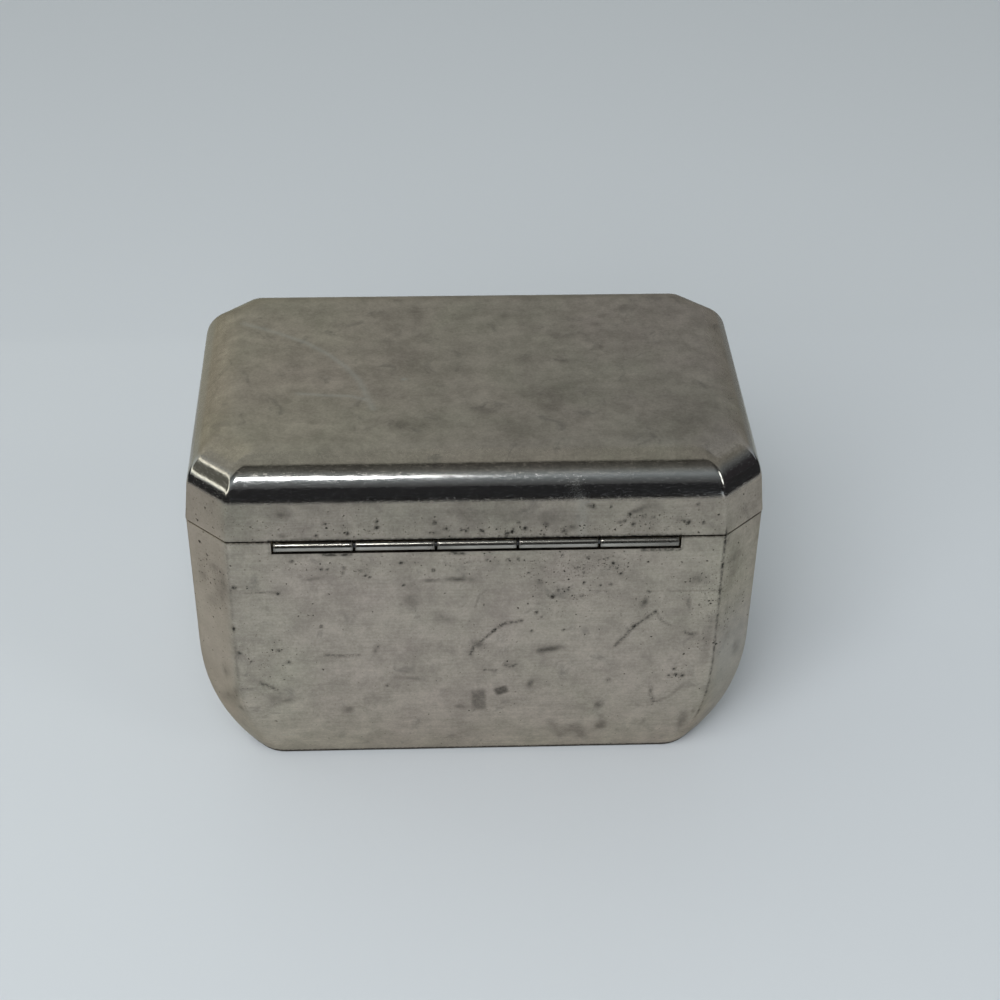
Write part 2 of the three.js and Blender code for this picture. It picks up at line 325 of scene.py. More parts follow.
def body_wall():
    """Rings up the outer face, over the rounded rim and down the inner face, closed at the foot."""
    foot_angle = math.asin((curve_up - BASE_TOP) / CURVE_RADIUS)
    arc = curve_up - CURVE_RADIUS * np.sin(np.linspace(foot_angle, WALL_LEAN, 76))
    straight = np.linspace(CURVE_START, NOTCH_BOTTOM, 66)[1:]
    collar = np.linspace(NOTCH_BOTTOM, RIM - RIM_ROUND, 7)[1:]
    outer_z = np.concatenate([arc, straight, collar])
    turn = np.linspace(0, math.pi / 2, 4)[1:]
    round_z = RIM - RIM_ROUND * (1 - np.sin(turn))
    round_in = RIM_ROUND * (1 - np.cos(turn))
    inner_z = np.concatenate([collar[::-1], [NOTCH_BOTTOM], straight[-2::-4], arc[:-2][::-5]])
    inner_z[-1] = BASE_TOP
    z = np.concatenate([outer_z, round_z, round_z[::-1], inner_z])
    inner_back = wall_inset(inner_z, SHEET) - wall_inset(inner_z)
    setback = np.concatenate([np.zeros(outer_z.size), round_in, SHEET - round_in[::-1], inner_back])
    points = rings(wall_inset(z), setback, z, body_stations)
    low_row = arc.size + straight.size - 1
    high_row = outer_z.size + 2 * turn.size + collar.size
    return points, low_row, high_row, outer_z.size + turn.size


wall_points, notch_low_row, notch_high_row, wall_outer_rows = body_wall()
print("wall grid", wall_points.shape, "notch rows", notch_low_row, notch_high_row)


# %% Cut the hinge notch out of the wall
def notched_faces(points, low_row, high_row):
    """All quads of the closed grid except those of the notch, plus its floor and its two end faces."""
    rows, columns = points.shape[:2]
    quads = grid_quads(rows, columns, close_rows=True)
    on_rear = points[low_row, :, 1] > DEPTH / 2 - 2 * SHEET
    inside = on_rear & (np.abs(points[low_row, :, 0]) < NOTCH_HALF + NOTCH_SLACK)
    first, last = np.flatnonzero(inside)[[0, -1]]
    keep = np.ones((rows, columns), dtype=bool)
    keep[low_row:high_row, first:last] = False
    low = low_row * columns + np.arange(first, last)
    high = high_row * columns + np.arange(first, last)
    notch_floor = np.stack([low, low + 1, high + 1, high], axis=-1)
    climb = np.arange(low_row, high_row + 1) * columns
    ends = [(climb + first).tolist(), (climb[::-1] + last).tolist()]
    return quads[keep].tolist() + notch_floor.tolist() + ends, keep


wall_faces, wall_kept = notched_faces(wall_points, notch_low_row, notch_high_row)
wall = make_piece("plated_wall", wall_points, wall_faces)
unroll(wall, wall_points, wall_outer_rows - 1, wall_kept)

# %% [markdown]
# ## Lid
# The lid is one pressed sheet: a short wall that leans in by five degrees, a rounded edge tangent to it,
# and a flat top. The rings run from a pole in the ceiling, down the inside, round the rim, up the outside
# and in to a pole on the top, so the whole lid is one closed surface.

# %% Lid shell
edge_up = LID_TOP - LID_EDGE_RADIUS
edge_start = edge_up + LID_EDGE_RADIUS * math.sin(LID_LEAN)
edge_in = (edge_start - LID_RIM) * math.tan(LID_LEAN) + LID_EDGE_RADIUS * math.cos(LID_LEAN)
lid_stations = ring_stations([even(count) for count in (8, 200, 8, 50, 8, 80, 8, 50)])


def lid_profile(setback, edge_steps, wall_steps, rim_z):
    """Inset, setback and height from the rim up the wall and over the rounded edge to the flat top."""
    angle = np.linspace(LID_LEAN, math.pi / 2, edge_steps)
    wall_z = np.linspace(rim_z, edge_start, wall_steps)[:-1]
    wall_in = (wall_z - LID_RIM) * math.tan(LID_LEAN)
    wall_back = np.full(wall_z.size, setback / math.cos(LID_LEAN))
    inset = np.concatenate([wall_in, edge_in - LID_EDGE_RADIUS * np.cos(angle)])
    back = np.concatenate([wall_back, setback * np.cos(angle)])
    z = np.concatenate([wall_z, edge_up + (LID_EDGE_RADIUS - setback) * np.sin(angle)])
    return inset, back, z


def lid_shell():
    """Rings of the ceiling, the inside, the rounded rim, the outside and the top, in that order."""
    turn = np.linspace(0, math.pi / 2, 4)[1:]
    outside = lid_profile(0.0, edge_steps=36, wall_steps=22, rim_z=LID_RIM + RIM_ROUND)
    inside = lid_profile(SHEET, edge_steps=14, wall_steps=8, rim_z=LID_RIM + RIM_ROUND)
    round_z = LID_RIM + RIM_ROUND * (1 - np.sin(turn))
    round_in = RIM_ROUND * (1 - np.cos(turn))
    inset = np.concatenate([inside[0][::-1], np.zeros(2 * turn.size), outside[0]])
    setback = np.concatenate([inside[1][::-1], SHEET - round_in, round_in[::-1], outside[1]])
    z = np.concatenate([inside[2][::-1], round_z, round_z[::-1], outside[2]])
    shell = rings(inset, setback, z, lid_stations, LID_SOFTENING)
    ceiling = shrink_to_middle(shell[:1], even(10))
    top = shrink_to_middle(shell[-1:], even(70)[::-1])
    outer_row = ceiling.shape[0] + inside[2].size + turn.size
    return np.concatenate([ceiling, shell, top]), outer_row


lid_points, lid_outer_row = lid_shell()
lid = poled_piece("plated_lid", lid_points)
unroll(lid, lid_points, lid_outer_row)

# %% [markdown]
# ## Base plate
# The floor of the box is a flat plate soldered under the wall. Its edge is filed round so that it carries
# the wall's curve on to the table, and it is painted dark as a painted contact shadow: one fine dark line.

# %% Base plate
PLATE_TUCK = 0.2 * MM
foot_slope = math.tan(math.asin((curve_up - BASE_TOP) / CURVE_RADIUS))
plate_stations = ring_stations([even(count) for count in (8, 60, 8, 40, 8, 60, 8, 40)])


def base_plate():
    """Rings from the middle of the underside, out round the filed edge and in again over the upper face.
    Below its top the edge goes in by the wall's own slope, plus the tuck times the drop's share squared."""
    edge_z = np.linspace(0, BASE_TOP, 9)
    drop = BASE_TOP - edge_z
    edge_back = foot_slope * drop + PLATE_TUCK * (drop / BASE_TOP) ** 2
    edge = rings(np.full(edge_z.size, FOOT_INSET), edge_back, edge_z, plate_stations)
    under = shrink_to_middle(edge[:1], even(7))
    over = shrink_to_middle(edge[-1:], even(7)[::-1])
    return np.concatenate([under, edge, over]), slice(len(under), len(under) + len(edge))


base_points, plate_edge_rows = base_plate()
plate = poled_piece("plated_floor", base_points)

# %% [markdown]
# ## Collar inside the rim
# A thin collar stands inside the rim and guides the lid. It is broken where the hinge is, so its strip is
# open: the closed section is carried along an open path and the two ends are capped.

# %% Rim collar
bezel_low, bezel_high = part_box("rim_bezel")
BEZEL_SHEET = 0.8 * MM
BEZEL_ROUND = 0.3 * MM


def rim_collar():
    """Section of the collar carried round the plan from one side of the hinge to the other."""
    outer = WIDTH / 2 - bezel_high.x - OVERHANG
    inner = outer + BEZEL_SHEET
    turn = np.linspace(0, math.pi / 2, 5)
    back = np.concatenate([[outer], outer + BEZEL_ROUND * (1 - np.cos(turn)), [inner, inner]])
    top = bezel_high.z - BEZEL_ROUND * (1 - np.sin(turn))
    z = np.concatenate([[bezel_low.z], top, [bezel_high.z, bezel_low.z]])
    points = rings(np.full(back.size, OVERHANG), back, z, body_stations)
    hinge_gap = (points[0, :, 1] > 0) & (np.abs(points[0, :, 0]) < NOTCH_HALF + NOTCH_SLACK)
    first = np.flatnonzero(hinge_gap)[-1]
    around = np.roll(np.arange(hinge_gap.size), -first)
    return points[:, around[: hinge_gap.size - int(hinge_gap.sum()) + 2]]


collar = open_strip("rim_collar", rim_collar(), 50)

# %% [markdown]
# ## Hinge knuckles
# Five short tubes lie end to end in the notch: three belong to the body and two to the lid. Each is a
# closed profile turned about the hinge axis, with its end edges eased, because a sharp edge never catches
# the light.

# %% Knuckles
KNUCKLE_NODES = {
    "body_knuckle_left": "body",
    "lid_knuckle_left": "lid",
    "body_knuckle_middle": "body",
    "lid_knuckle_right": "lid",
    "body_knuckle_right": "body",
}
KNUCKLE_BORE = 0.47 * MM
KNUCKLE_EASE = 0.14 * MM


def knuckle_points(name):
    """A tube turned about the hinge axis: x and radius run along its section, the angle goes round."""
    low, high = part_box(name)
    outer = (high.z - low.z) / 2
    turn = np.linspace(0, math.pi / 2, 4)
    end_x = KNUCKLE_EASE * (1 - np.sin(turn))
    end_r = outer - KNUCKLE_EASE * (1 - np.cos(turn))
    along = np.linspace(low.x + KNUCKLE_EASE, high.x - KNUCKLE_EASE, 25)[1:-1]
    shaft = np.full(along.size, outer)
    x = np.concatenate([[low.x], low.x + end_x[::-1], along, high.x - end_x, [high.x]])
    radius = np.concatenate([[KNUCKLE_BORE], end_r[::-1], shaft, end_r, [KNUCKLE_BORE]])
    angle = np.linspace(0, 2 * math.pi, 48, endpoint=False)[None, :]
    y = hinge_pos.y + radius[:, None] * np.cos(angle)
    z = hinge_pos.z + radius[:, None] * np.sin(angle)
    return np.stack(np.broadcast_arrays(x[:, None], y, z), axis=-1)


def knuckle(name, points):
    """The mesh of one tube: its section is closed, and so is the way round."""
    quads = grid_quads(*points.shape[:2], close_rows=True)
    return make_piece("tube_" + name, points, quads.reshape(-1, 4).tolist(), 60)


tube_points = {name: knuckle_points(name) for name in KNUCKLE_NODES}
tubes = {name: knuckle(name, points) for name, points in tube_points.items()}

# %% [markdown]
# ## Thumb lift
# A half-moon tab on the lid's front edge, to open the box with one finger. Its section is a flat oval
# that thins out towards both ends.

# %% Thumb lift
lift_low, lift_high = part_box("thumb_lift")
TAB_SPAN = 0.998
NOSE_POWER = 0.55
THICK_POWER = 0.75
THIN_END = 0.45


def thumb_lift():
    """Half-moon tab: at each place across its width, a half oval as deep as the circle segment is there."""
    half = (lift_high.x - lift_low.x) / 2
    reach = lift_high.y - lift_low.y
    radius = (half**2 + reach**2) / (2 * reach)
    across = np.sin(np.linspace(-1, 1, 49) * math.pi / 2) * half * TAB_SPAN
    depth = np.sqrt(radius**2 - across**2) - (radius - reach)
    turn = np.linspace(-math.pi / 2, math.pi / 2, 17)
    nose = np.cos(turn) ** NOSE_POWER
    thick = np.sign(np.sin(turn)) * np.abs(np.sin(turn)) ** THICK_POWER
    share = THIN_END + (1 - THIN_END) * (depth / reach) ** 0.5
    half_thick = (lift_high.z - lift_low.z) / 2 * share
    x = np.broadcast_to(across, (turn.size, across.size))
    y = lift_high.y - depth * nose[:, None]
    z = (lift_high.z + lift_low.z) / 2 + half_thick * thick[:, None]
    return np.stack([x, y, z], axis=-1)


lift = open_strip("finger_tab", thumb_lift(), 50)

# %% [markdown]
# ## Painting the wear
# Handling polishes the lid's rounded edge, dirt gathers along the joints, and damp leaves pits and stains
# in certain places. Such things have a place on the box, so they are painted as numbers on the vertices:
# a dab is a soft oval, a stroke is a soft line. Some layers also hold painted light and shade: a painted
# contact shadow at the foot, painted shade in the knuckles' gaps and along a crease, one cant painted
# lighter and one warmer for what they reflect. The nodes read these layers later and give them colour and
# gloss.


# %% Brushes
PIT_FORCE = 1.1


def turned(x, z, at, size, turn):
    """Place of each point along and over a mark's turned axes, measured in the mark's half sizes."""
    cosine, sine = math.cos(math.radians(turn)), math.sin(math.radians(turn))
    along = ((x - at[0]) * cosine + (z - at[1]) * sine) / size[0]
    over = ((z - at[1]) * cosine - (x - at[0]) * sine) / size[1]
    return along, over


def dab(x, z, at, size, turn=0.0):
    """Soft oval: exp(-r squared), with r measured in half sizes along the turned axes."""
    along, over = turned(x, z, at, size, turn)
    return np.exp(-(along**2) - over**2)


def patch(x, z, at, size, turn=0.0):
    """Flat patch with soft edges: exp(-r to the eighth) on each turned axis."""
    along, over = turned(x, z, at, size, turn)
    return np.exp(-(along**8) - over**8)


def fade(distance, width):
    """Soft line seen across: exp(-(distance / width) squared)."""
    return np.exp(-((distance / width) ** 2))


def stroke(x, z, route, width):
    """Soft line along a route: the fade of the distance to its nearest stretch."""
    nearest = np.full(x.shape, np.inf)
    for (x0, z0), (x1, z1) in zip(route[:-1], route[1:]):
        run, climb = x1 - x0, z1 - z0
        share = np.clip(((x - x0) * run + (z - z0) * climb) / (run**2 + climb**2), 0, 1)
        nearest = np.minimum(nearest, np.hypot(x - x0 - share * run, z - z0 - share * climb))
    return fade(nearest, width)


def dabs(x, z, marks, brush=dab):
    """Sum of many dabs, each with its place, half sizes, turn in degrees and force."""
    return sum(force * brush(x, z, at, size, turn) for at, size, turn, force in marks.values())


def strokes(x, z, marks):
    """Sum of many strokes, each with its route, width and force."""
    return sum(force * stroke(x, z, route, width) for route, width, force in marks.values())


def dots(x, z, marks):
    """Sum of many small round pits, each with its place across, its place up and its radius."""
    return sum(PIT_FORCE * dab(x, z, (across, up), (radius, radius)) for across, up, radius in marks)


def smooth_step(value, start, end):
    """Zero before the start, one after the end, with an S-shaped rise between them."""
    share = np.clip((value - start) / (end - start), 0, 1)
    return share**2 * (3 - 2 * share)


def paint(piece, **layers):
    """Stores each layer of numbers, one for every vertex, as a named attribute of the piece."""
    for name, values in layers.items():
        padded = np.zeros(len(piece.data.vertices), dtype=np.float32)
        padded[: values.size] = np.clip(values, 0, 1).ravel()
        piece.data.attributes.new(name, "FLOAT", "POINT").data.foreach_set("value", padded)
        print(piece.name, name, "mean", round(float(padded.mean()), 3))


print("brushes ready: dab, patch and stroke")

# %% [markdown]
# ## Marks on the body
# Every mark on the hinge side has its own place, size and force, listed and named for what it
# looks like. Lists of plain numbers are easy to change one by one, which an image of the dirt would not
# be. Soft marks are dabs and smears, scratches are strokes, and the largest pits are single dots among
# many random small ones.

# %% Marks on the rear of the body, in millimetres across and up
WALL_DABS = {
    "smear below the hinge": ((2.9, 40.4), (2.0, 0.50), 0, 0.62),
    "second smear": ((7.2, 40.2), (1.5, 0.35), 0, 0.55),
    "dark streak": ((-11.8, 26.2), (2.1, 0.52), -8, 0.76),
    "start of the streak": ((-10.2, 25.7), (0.6, 0.45), 0, 0.45),
    "dots beside the dash": ((15.9, 26.5), (0.4, 0.9), 20, 0.45),
    "thumb smudge": ((32.4, 16.6), (1.9, 1.8), 0, 0.30),
    "edge of the smudge": ((30.2, 16.0), (0.9, 0.5), -20, 0.32),
    "left spot": ((20.6, 13.5), (0.9, 0.9), 0, 0.52),
    "middle spot": ((2.5, 13.8), (1.0, 0.7), 0, 0.42),
    "right spot": ((-20.0, 13.5), (0.7, 0.8), 0, 0.52),
    "upright fleck": ((-8.8, 19.0), (0.45, 0.9), 15, 0.68),
    "brown oval": ((-34.1, 8.8), (0.8, 2.6), 6, 0.50),
    "edge of the oval": ((-35.8, 11.4), (0.3, 0.7), 0, 0.50),
    "fleck over the scratch": ((-26.4, 35.2), (0.5, 0.9), 20, 0.66),
    "smudge near the seam": ((-33.4, 35.0), (0.4, 1.2), -8, 0.42),
    "stain by the seam": ((-34.6, 39.6), (1.3, 1.1), 0, 0.34),
    "soft cloud": ((10.5, 36.2), (1.4, 1.2), 0, 0.34),
    "soft cloud by the arc": ((4.8, 32.4), (2.0, 1.1), 20, 0.28),
    "root of the arc": ((-0.4, 27.4), (1.0, 0.7), 30, 0.60),
    "claw mark": ((-32.2, 20.3), (1.2, 0.5), 0, 0.3),
    "grey fleck": ((-9.9, 39.6), (0.6, 0.6), 0, 0.34),
    "brown stain on the left cant": ((40.0, 37.5), (0.7, 3.0), -8, 0.32),
    "spot at the left edge": ((42.7, 38.8), (0.35, 1.0), 0, 0.45),
    "upper spot on the left cant": ((40.6, 41.8), (0.5, 0.8), 0, 0.36),
    "smudge on the left cant": ((40.0, 21.0), (0.5, 1.3), 0, 0.42),
    "low stain on the left cant": ((40.2, 14.6), (0.9, 2.0), 20, 0.36),
    "dot by the fold": ((38.0, 13.3), (0.45, 0.6), 0, 0.45),
    "shade on the left cant": ((40.8, 43.0), (3.0, 5.0), 0, 0.10),
    "brown spot on the left cant": ((41.2, 35.0), (0.8, 1.4), 10, 0.26),
    "smudge at the right edge": ((-42.3, 22.5), (0.45, 1.8), 0, 0.40),
    "brown patch on the right cant": ((-40.6, 42.6), (1.0, 1.6), 0, 0.22),
    "low patch on the right cant": ((-40.2, 27.0), (0.8, 1.8), -10, 0.24),
    "spot on the right cant": ((-40.0, 32.4), (0.5, 1.0), -10, 0.36),
    "upper spot on the right cant": ((-40.2, 39.4), (0.45, 1.2), 0, 0.36),
    "curl on the left": ((25.6, 40.8), (1.3, 0.22), -8, 0.50),
    "faint streak": ((10.4, 20.5), (2.8, 0.35), 10, 0.26),
    "shaded foot": ((3.0, 6.0), (5.5, 4.0), 0, 0.12),
    "shade under the hinge": ((-8.0, 41.5), (24.0, 4.5), 0, 0.11),
    "stain on the fold": ((39.3, 40.0), (0.5, 2.6), -5, 0.40),
    "lower stain on the fold": ((38.6, 17.0), (0.5, 3.6), 8, 0.32),
    "knob of the blotch": ((-20.3, 7.4), (0.7, 0.9), 0, 0.40),
    "brown shade along the seam": ((-36.8, 26.5), (0.9, 4.5), 4, 0.26),
}
WALL_PATCHES = {
    "tall square": ((-0.5, 15.2), (1.2, 2.6), -2, 0.48),
    "tilted square": ((-4.1, 17.4), (1.1, 0.85), -24, 0.68),
}
WALL_STROKES = {
    "upper arc scratch": (((-7.2, 32.0), (-4.4, 31.5), (-2.8, 30.1)), 0.27, 0.68),
    "lower arc scratch": (((-2.8, 30.1), (-0.9, 28.2), (0.3, 27.2), (0.9, 25.4)), 0.27, 0.68),
    "upper diagonal": (((-28.3, 33.4), (-26.6, 31.9), (-24.9, 30.4)), 0.28, 0.66),
    "lower diagonal": (((-24.9, 30.4), (-23.4, 28.2), (-22.1, 26.6)), 0.28, 0.66),
    "branch of the scratch": (((-28.3, 33.4), (-29.2, 31.6), (-30.8, 30.6)), 0.24, 0.42),
    "faint curl": (((-1.6, 38.2), (-0.4, 37.0), (0.2, 34.8)), 0.2, 0.3),
    "fine dash": (((24.0, 25.8), (21.6, 25.5), (18.6, 25.6)), 0.22, 0.66),
    "short dash": (((-1.4, 22.1), (-3.2, 22.0)), 0.24, 0.66),
    "bent dash": (((-4.5, 23.2), (-5.6, 22.7), (-6.3, 23.0)), 0.28, 0.7),
    "dash near the seam": (((-33.0, 29.2), (-33.8, 28.8), (-34.9, 28.8)), 0.26, 0.68),
    "smudge on the left": (((34.5, 20.1), (31.9, 18.6)), 0.42, 0.62),
    "hook near the seam": (((-28.3, 17.6), (-28.5, 15.6), (-29.0, 14.0), (-30.0, 13.9)), 0.32, 0.55),
    "hairline left": (((38.2, 38.6), (31.0, 38.2)), 0.17, 0.48),
    "dirt under the first tube": (((23.6, 45.5), (19.4, 45.4)), 0.25, 0.85),
    "dirt under the middle tube": (((3.8, 45.4), (2.0, 45.3)), 0.32, 0.75),
    "dirt under the last tube": (((-25.6, 45.5), (-31.4, 45.5)), 0.22, 0.9),
    "hairline right": (((-17.5, 37.6), (-38.7, 37.3)), 0.15, 0.28),
}
WALL_SMEARS = {
    "left side of the blotch": (((-12.4, 9.2), (-14.2, 4.8)), 0.9, 0.28),
    "middle of the blotch": (((-16.4, 7.4), (-17.8, 4.8)), 1.3, 0.42),
    "inner side of the blotch": (((-15.2, 6.0), (-14.9, 4.8)), 0.7, 0.18),
    "right side of the blotch": (((-20.6, 10.6), (-21.2, 7.2)), 0.6, 0.34),
    "faint ring": (((-29.6, 14.2), (-31.6, 15.4), (-33.2, 17.6)), 0.35, 0.26),
}
WALL_PITS = [
    (-21.2, 43.0, 0.34), (-15.6, 42.2, 0.26), (-16.6, 41.2, 0.24), (-16.7, 39.3, 0.28), (-8.0, 41.3, 0.30),
    (-11.9, 36.7, 0.36), (-12.7, 37.9, 0.24), (-14.4, 38.0, 0.28), (-16.5, 36.8, 0.30), (-9.4, 33.6, 0.28),
    (-10.3, 32.7, 0.20), (-8.8, 29.9, 0.24), (-13.8, 30.0, 0.22), (-20.9, 38.9, 0.30), (-19.3, 38.7, 0.24),
    (-17.2, 44.2, 0.26), (-13.2, 44.6, 0.28), (-20.2, 43.9, 0.22), (-22.4, 41.0, 0.26), (-21.8, 42.0, 0.22),
    (-6.4, 44.2, 0.24), (-27.0, 37.3, 0.30), (-21.4, 19.5, 0.30), (24.0, 42.7, 0.26), (23.1, 42.6, 0.20),
    (20.5, 42.9, 0.28), (20.7, 41.9, 0.20), (18.0, 42.3, 0.24), (17.2, 41.4, 0.24), (16.6, 41.0, 0.22),
    (11.7, 43.7, 0.28), (6.7, 42.2, 0.32), (28.5, 44.3, 0.30), (24.4, 31.5, 0.28), (31.3, 26.8, 0.30),
    (29.8, 24.4, 0.28), (35.7, 24.6, 0.20), (14.2, 19.1, 0.30), (37.5, 26.4, 0.32), (37.6, 39.4, 0.36),
    (30.9, 38.2, 0.34), (11.4, 39.4, 0.26), (15.5, 27.3, 0.22), (-4.8, 44.0, 0.26), (-1.6, 44.0, 0.22),
    (-31.1, 20.1, 0.32), (-32.2, 20.3, 0.40), (-33.3, 20.1, 0.32), (-31.8, 21.7, 0.36), (38.1, 31.2, 0.30),
]
WALL_PIT_FIELDS = {
    "left of the hinge": ((21.5, 43.2), (7.5, 1.6), 0, 0.40),
    "under the middle": ((4.0, 43.8), (9.0, 1.4), 0, 0.35),
    "right of the hinge": ((-15.5, 43.0), (9.0, 2.2), 0, 0.62),
    "below that": ((-14.0, 38.0), (5.0, 2.5), 0, 0.35),
    "claw": ((-32.2, 20.5), (1.6, 1.4), 0, 0.60),
    "along the seam": ((-36.0, 36.0), (2.5, 7.0), 0, 0.40),
    "by the scratch": ((-27.0, 34.0), (3.0, 3.0), 0, 0.40),
    "lower left": ((33.0, 25.0), (5.0, 3.0), 0, 0.20),
    "root of the arc": ((-0.5, 27.0), (1.6, 1.8), 0, 0.50),
    "left cant": ((40.8, 38.0), (3.0, 9.0), 0, 0.34),
    "right cant": ((-40.8, 35.0), (3.0, 9.0), 0, 0.32),
}
wall_marks = [WALL_DABS, WALL_PATCHES, WALL_STROKES, WALL_SMEARS, WALL_PITS]
print("marks on the rear wall", sum(len(marks) for marks in wall_marks))


# %% Paint the wall
# Painted reflection: the left cant is blended this far towards a warm colour, for the warm light it
# reflects.
WARM_REFLECTION_FORCE = 0.5
# Painted light: the right cant is blended this far towards a lighter, cooler grey, for the brighter floor it
# reflects.
LIGHTER_CANT = 0.36
STRAY_PITS = 0.025
HANDLED_SIDES = 0.5
CLEAN_CANTS = 0.85
# Painted shade: the tubes' ends are darkened this much, for the shade in the gaps between knuckles.
TUBE_END_SHADE = 0.95
TUBE_END_REACH = 0.22
SEAM_CREASE = {"corner": 2, "step": 3}
# Painted shade: a faint dark line along a crease at the rear's left cant.
SHADED_FOLD_CREASE = {"corner": 1, "step": 2}


def less_on_cants(x):
    """Share of the rim's dirt at a place: all of it along the rear, little on the cants and the ends."""
    return 1 - CLEAN_CANTS * smooth_step(np.abs(x), 37, 40)


def near_hinge(x, y):
    """One along the hinge on the rear side, zero elsewhere."""
    return (np.abs(x) < NOTCH_HALF / MM + 0.5) * (y > 20)


def from_crease(corner, step):
    """Distance in millimetres of each point of the wall from a corner's crease at the same height."""
    column = int(np.flatnonzero(body_stations["corner"] == corner)[step])
    crease = wall_points[:, column : column + 1]
    return np.hypot(*(wall_points[..., axis] - crease[..., axis] for axis in range(2))) / MM


def wall_layers():
    """Smudges and painted shade, grime and painted shade, pits, a cant painted lighter and a cant painted
    warmer for what they reflect, and handled sides of the body wall. All marks sit on the outer face of the
    hinge side. Each dark line is a force times the fade of a distance."""
    x, y, z = (wall_points[..., axis] / MM for axis in range(3))
    outside = (np.arange(x.shape[0]) < wall_outer_rows)[:, None]
    rear = outside * smooth_step(y, 15, 20)
    smudge_and_shade = dabs(x, z, WALL_DABS) + dabs(x, z, WALL_PATCHES, patch) + strokes(x, z, WALL_SMEARS)
    marks = strokes(x, z, WALL_STROKES) + dots(x, z, WALL_PITS)

    broken = smooth_step(z, 4, 12) * (0.7 + 0.3 * np.sin(1.9 * z) * np.sin(0.7 * z))
    thicker_above = 0.75 + 0.3 * smooth_step(z, 28, 40)
    dirt_and_shade = {
        "seam": thicker_above * broken * fade(from_crease(**SEAM_CREASE), 0.25),
        # painted shade: a dark line along the crease at the rear's left cant
        "fold": 0.25 * smooth_step(z, 8, 18) * fade(from_crease(**SHADED_FOLD_CREASE), 0.3),
        "notch": 0.22 * near_hinge(x, y) * fade(np.maximum(NOTCH_BOTTOM / MM - z, 0), 0.28),
        "rim": 0.55 * less_on_cants(x) * fade(RIM / MM - z, 0.22),
        # painted shadow: a dark line at the foot, where the wall meets the plate
        "foot": 0.9 * fade(z - BASE_TOP / MM, 0.25),
    }
    # grime and painted shade together: the marks and the dark lines, with the crease's painted shade and the
    # foot's painted shadow
    grime = marks * rear + sum(dirt_and_shade.values()) * outside

    pitting = outside * STRAY_PITS + rear * dabs(x, z, WALL_PIT_FIELDS)
    handled = HANDLED_SIDES * outside * (1 - smooth_step(y, 15, 24))
    # painted light: the lower right cant is made lighter and cooler, for the brighter floor it reflects
    painted_light = LIGHTER_CANT * rear * smooth_step(-x, 37, 40) * (1 - smooth_step(z, 22, 38))
    # painted reflection: the left cant is made warmer, for the warm light it reflects
    painted_warm_reflection = WARM_REFLECTION_FORCE * rear * smooth_step(x, 38, 39.5)
    layers = {"smudge_and_shade": smudge_and_shade * rear, "grime": grime, "pitting": pitting}
    return layers | {"rubbed_and_painted_light": painted_light, "painted_warm_reflection": painted_warm_reflection, "polish": handled}


paint(wall, **wall_layers())

# %% Painted shadow on the plate's edge and painted shade on the tubes' ends
# Painted shadow: the plate's whole edge is dark, as a contact shadow along the foot.
edge_shadow = np.zeros(base_points.shape[:2])
edge_shadow[plate_edge_rows] = 1.0
paint(plate, grime=edge_shadow)
for name, points in tube_points.items():
    along_tube = points[..., 0] / MM
    from_end = np.minimum(along_tube - along_tube.min(), along_tube.max() - along_tube)
    # painted shade at the ends of each tube, for the dark gaps between knuckles
    paint(tubes[name], grime=TUBE_END_SHADE * (1 - smooth_step(from_end, 0.0, TUBE_END_REACH)))

# %% [markdown]
# ## Marks on the lid
# The lid has the same kinds of marks: dots and smears on its short wall, pale scratches and soft clouds
# on its top. Its rounded edge is where hands take hold, so it gets a layer of polish. The angle of the
# edge's arc tells the wall, the edge and the top apart, so one function can paint all three.

# %% Marks on the lid, in millimetres
LID_DABS = {
    "big soft spot": ((-10.6, 50.5), (0.6, 0.45), 0, 0.60),
    "second soft spot": ((-14.7, 49.9), (0.7, 0.45), 0, 0.52),
    "dark fleck": ((-17.3, 53.6), (0.8, 0.30), 30, 0.62),
    "smear on the right": ((-24.6, 52.8), (1.4, 0.45), -25, 0.58),
    "fleck on the right": ((-22.0, 50.7), (0.4, 0.30), 0, 0.55),
    "fleck near the corner": ((-31.5, 50.8), (0.6, 0.25), 20, 0.52),
    "brushed shade": ((0.0, 52.6), (9.0, 0.9), 0, 0.18),
    "second brushed shade": ((-12.0, 51.8), (7.0, 1.2), 0, 0.14),
    "smear on the left": ((29.0, 53.0), (1.2, 0.6), 10, 0.30),
    "smear over the second tube": ((6.3, 49.2), (1.0, 0.4), 0, 0.30),
    "shade over the hinge": ((-10.0, 51.0), (22.0, 3.0), 0, 0.09),
    "spot on the left": ((29.9, 52.7), (0.5, 0.45), 0, 0.42),
    "low spot on the left": ((29.8, 49.1), (0.7, 0.45), 10, 0.50),
    # Painted shade: darkens the lid's left cant, for the dark reflection below the window.
    "shade on the left cant": ((40.8, 52.5), (2.6, 2.4), 0, 0.18),
}
LID_PITS = [
    (15.3, 51.4, 0.30), (15.3, 50.4, 0.38), (6.4, 51.1, 0.38), (19.8, 49.4, 0.32), (23.2, 51.1, 0.26),
    (24.6, 49.1, 0.28), (4.8, 50.0, 0.28), (2.4, 49.8, 0.28),
    (1.6, 49.6, 0.36), (-0.8, 49.4, 0.52), (-5.4, 49.5, 0.42), (-4.6, 49.0, 0.40), (-6.4, 50.9, 0.30),
    (-7.4, 49.9, 0.34), (-13.4, 49.4, 0.48), (-17.7, 53.6, 0.38), (-23.3, 52.0, 0.40), (-22.6, 50.9, 0.32),
    (-25.6, 51.7, 0.34), (-27.0, 51.6, 0.30), (-24.0, 50.3, 0.32), (-20.4, 53.4, 0.26), (-33.7, 53.6, 0.26),
    (-32.5, 50.5, 0.38), (-34.8, 50.4, 0.26),
]
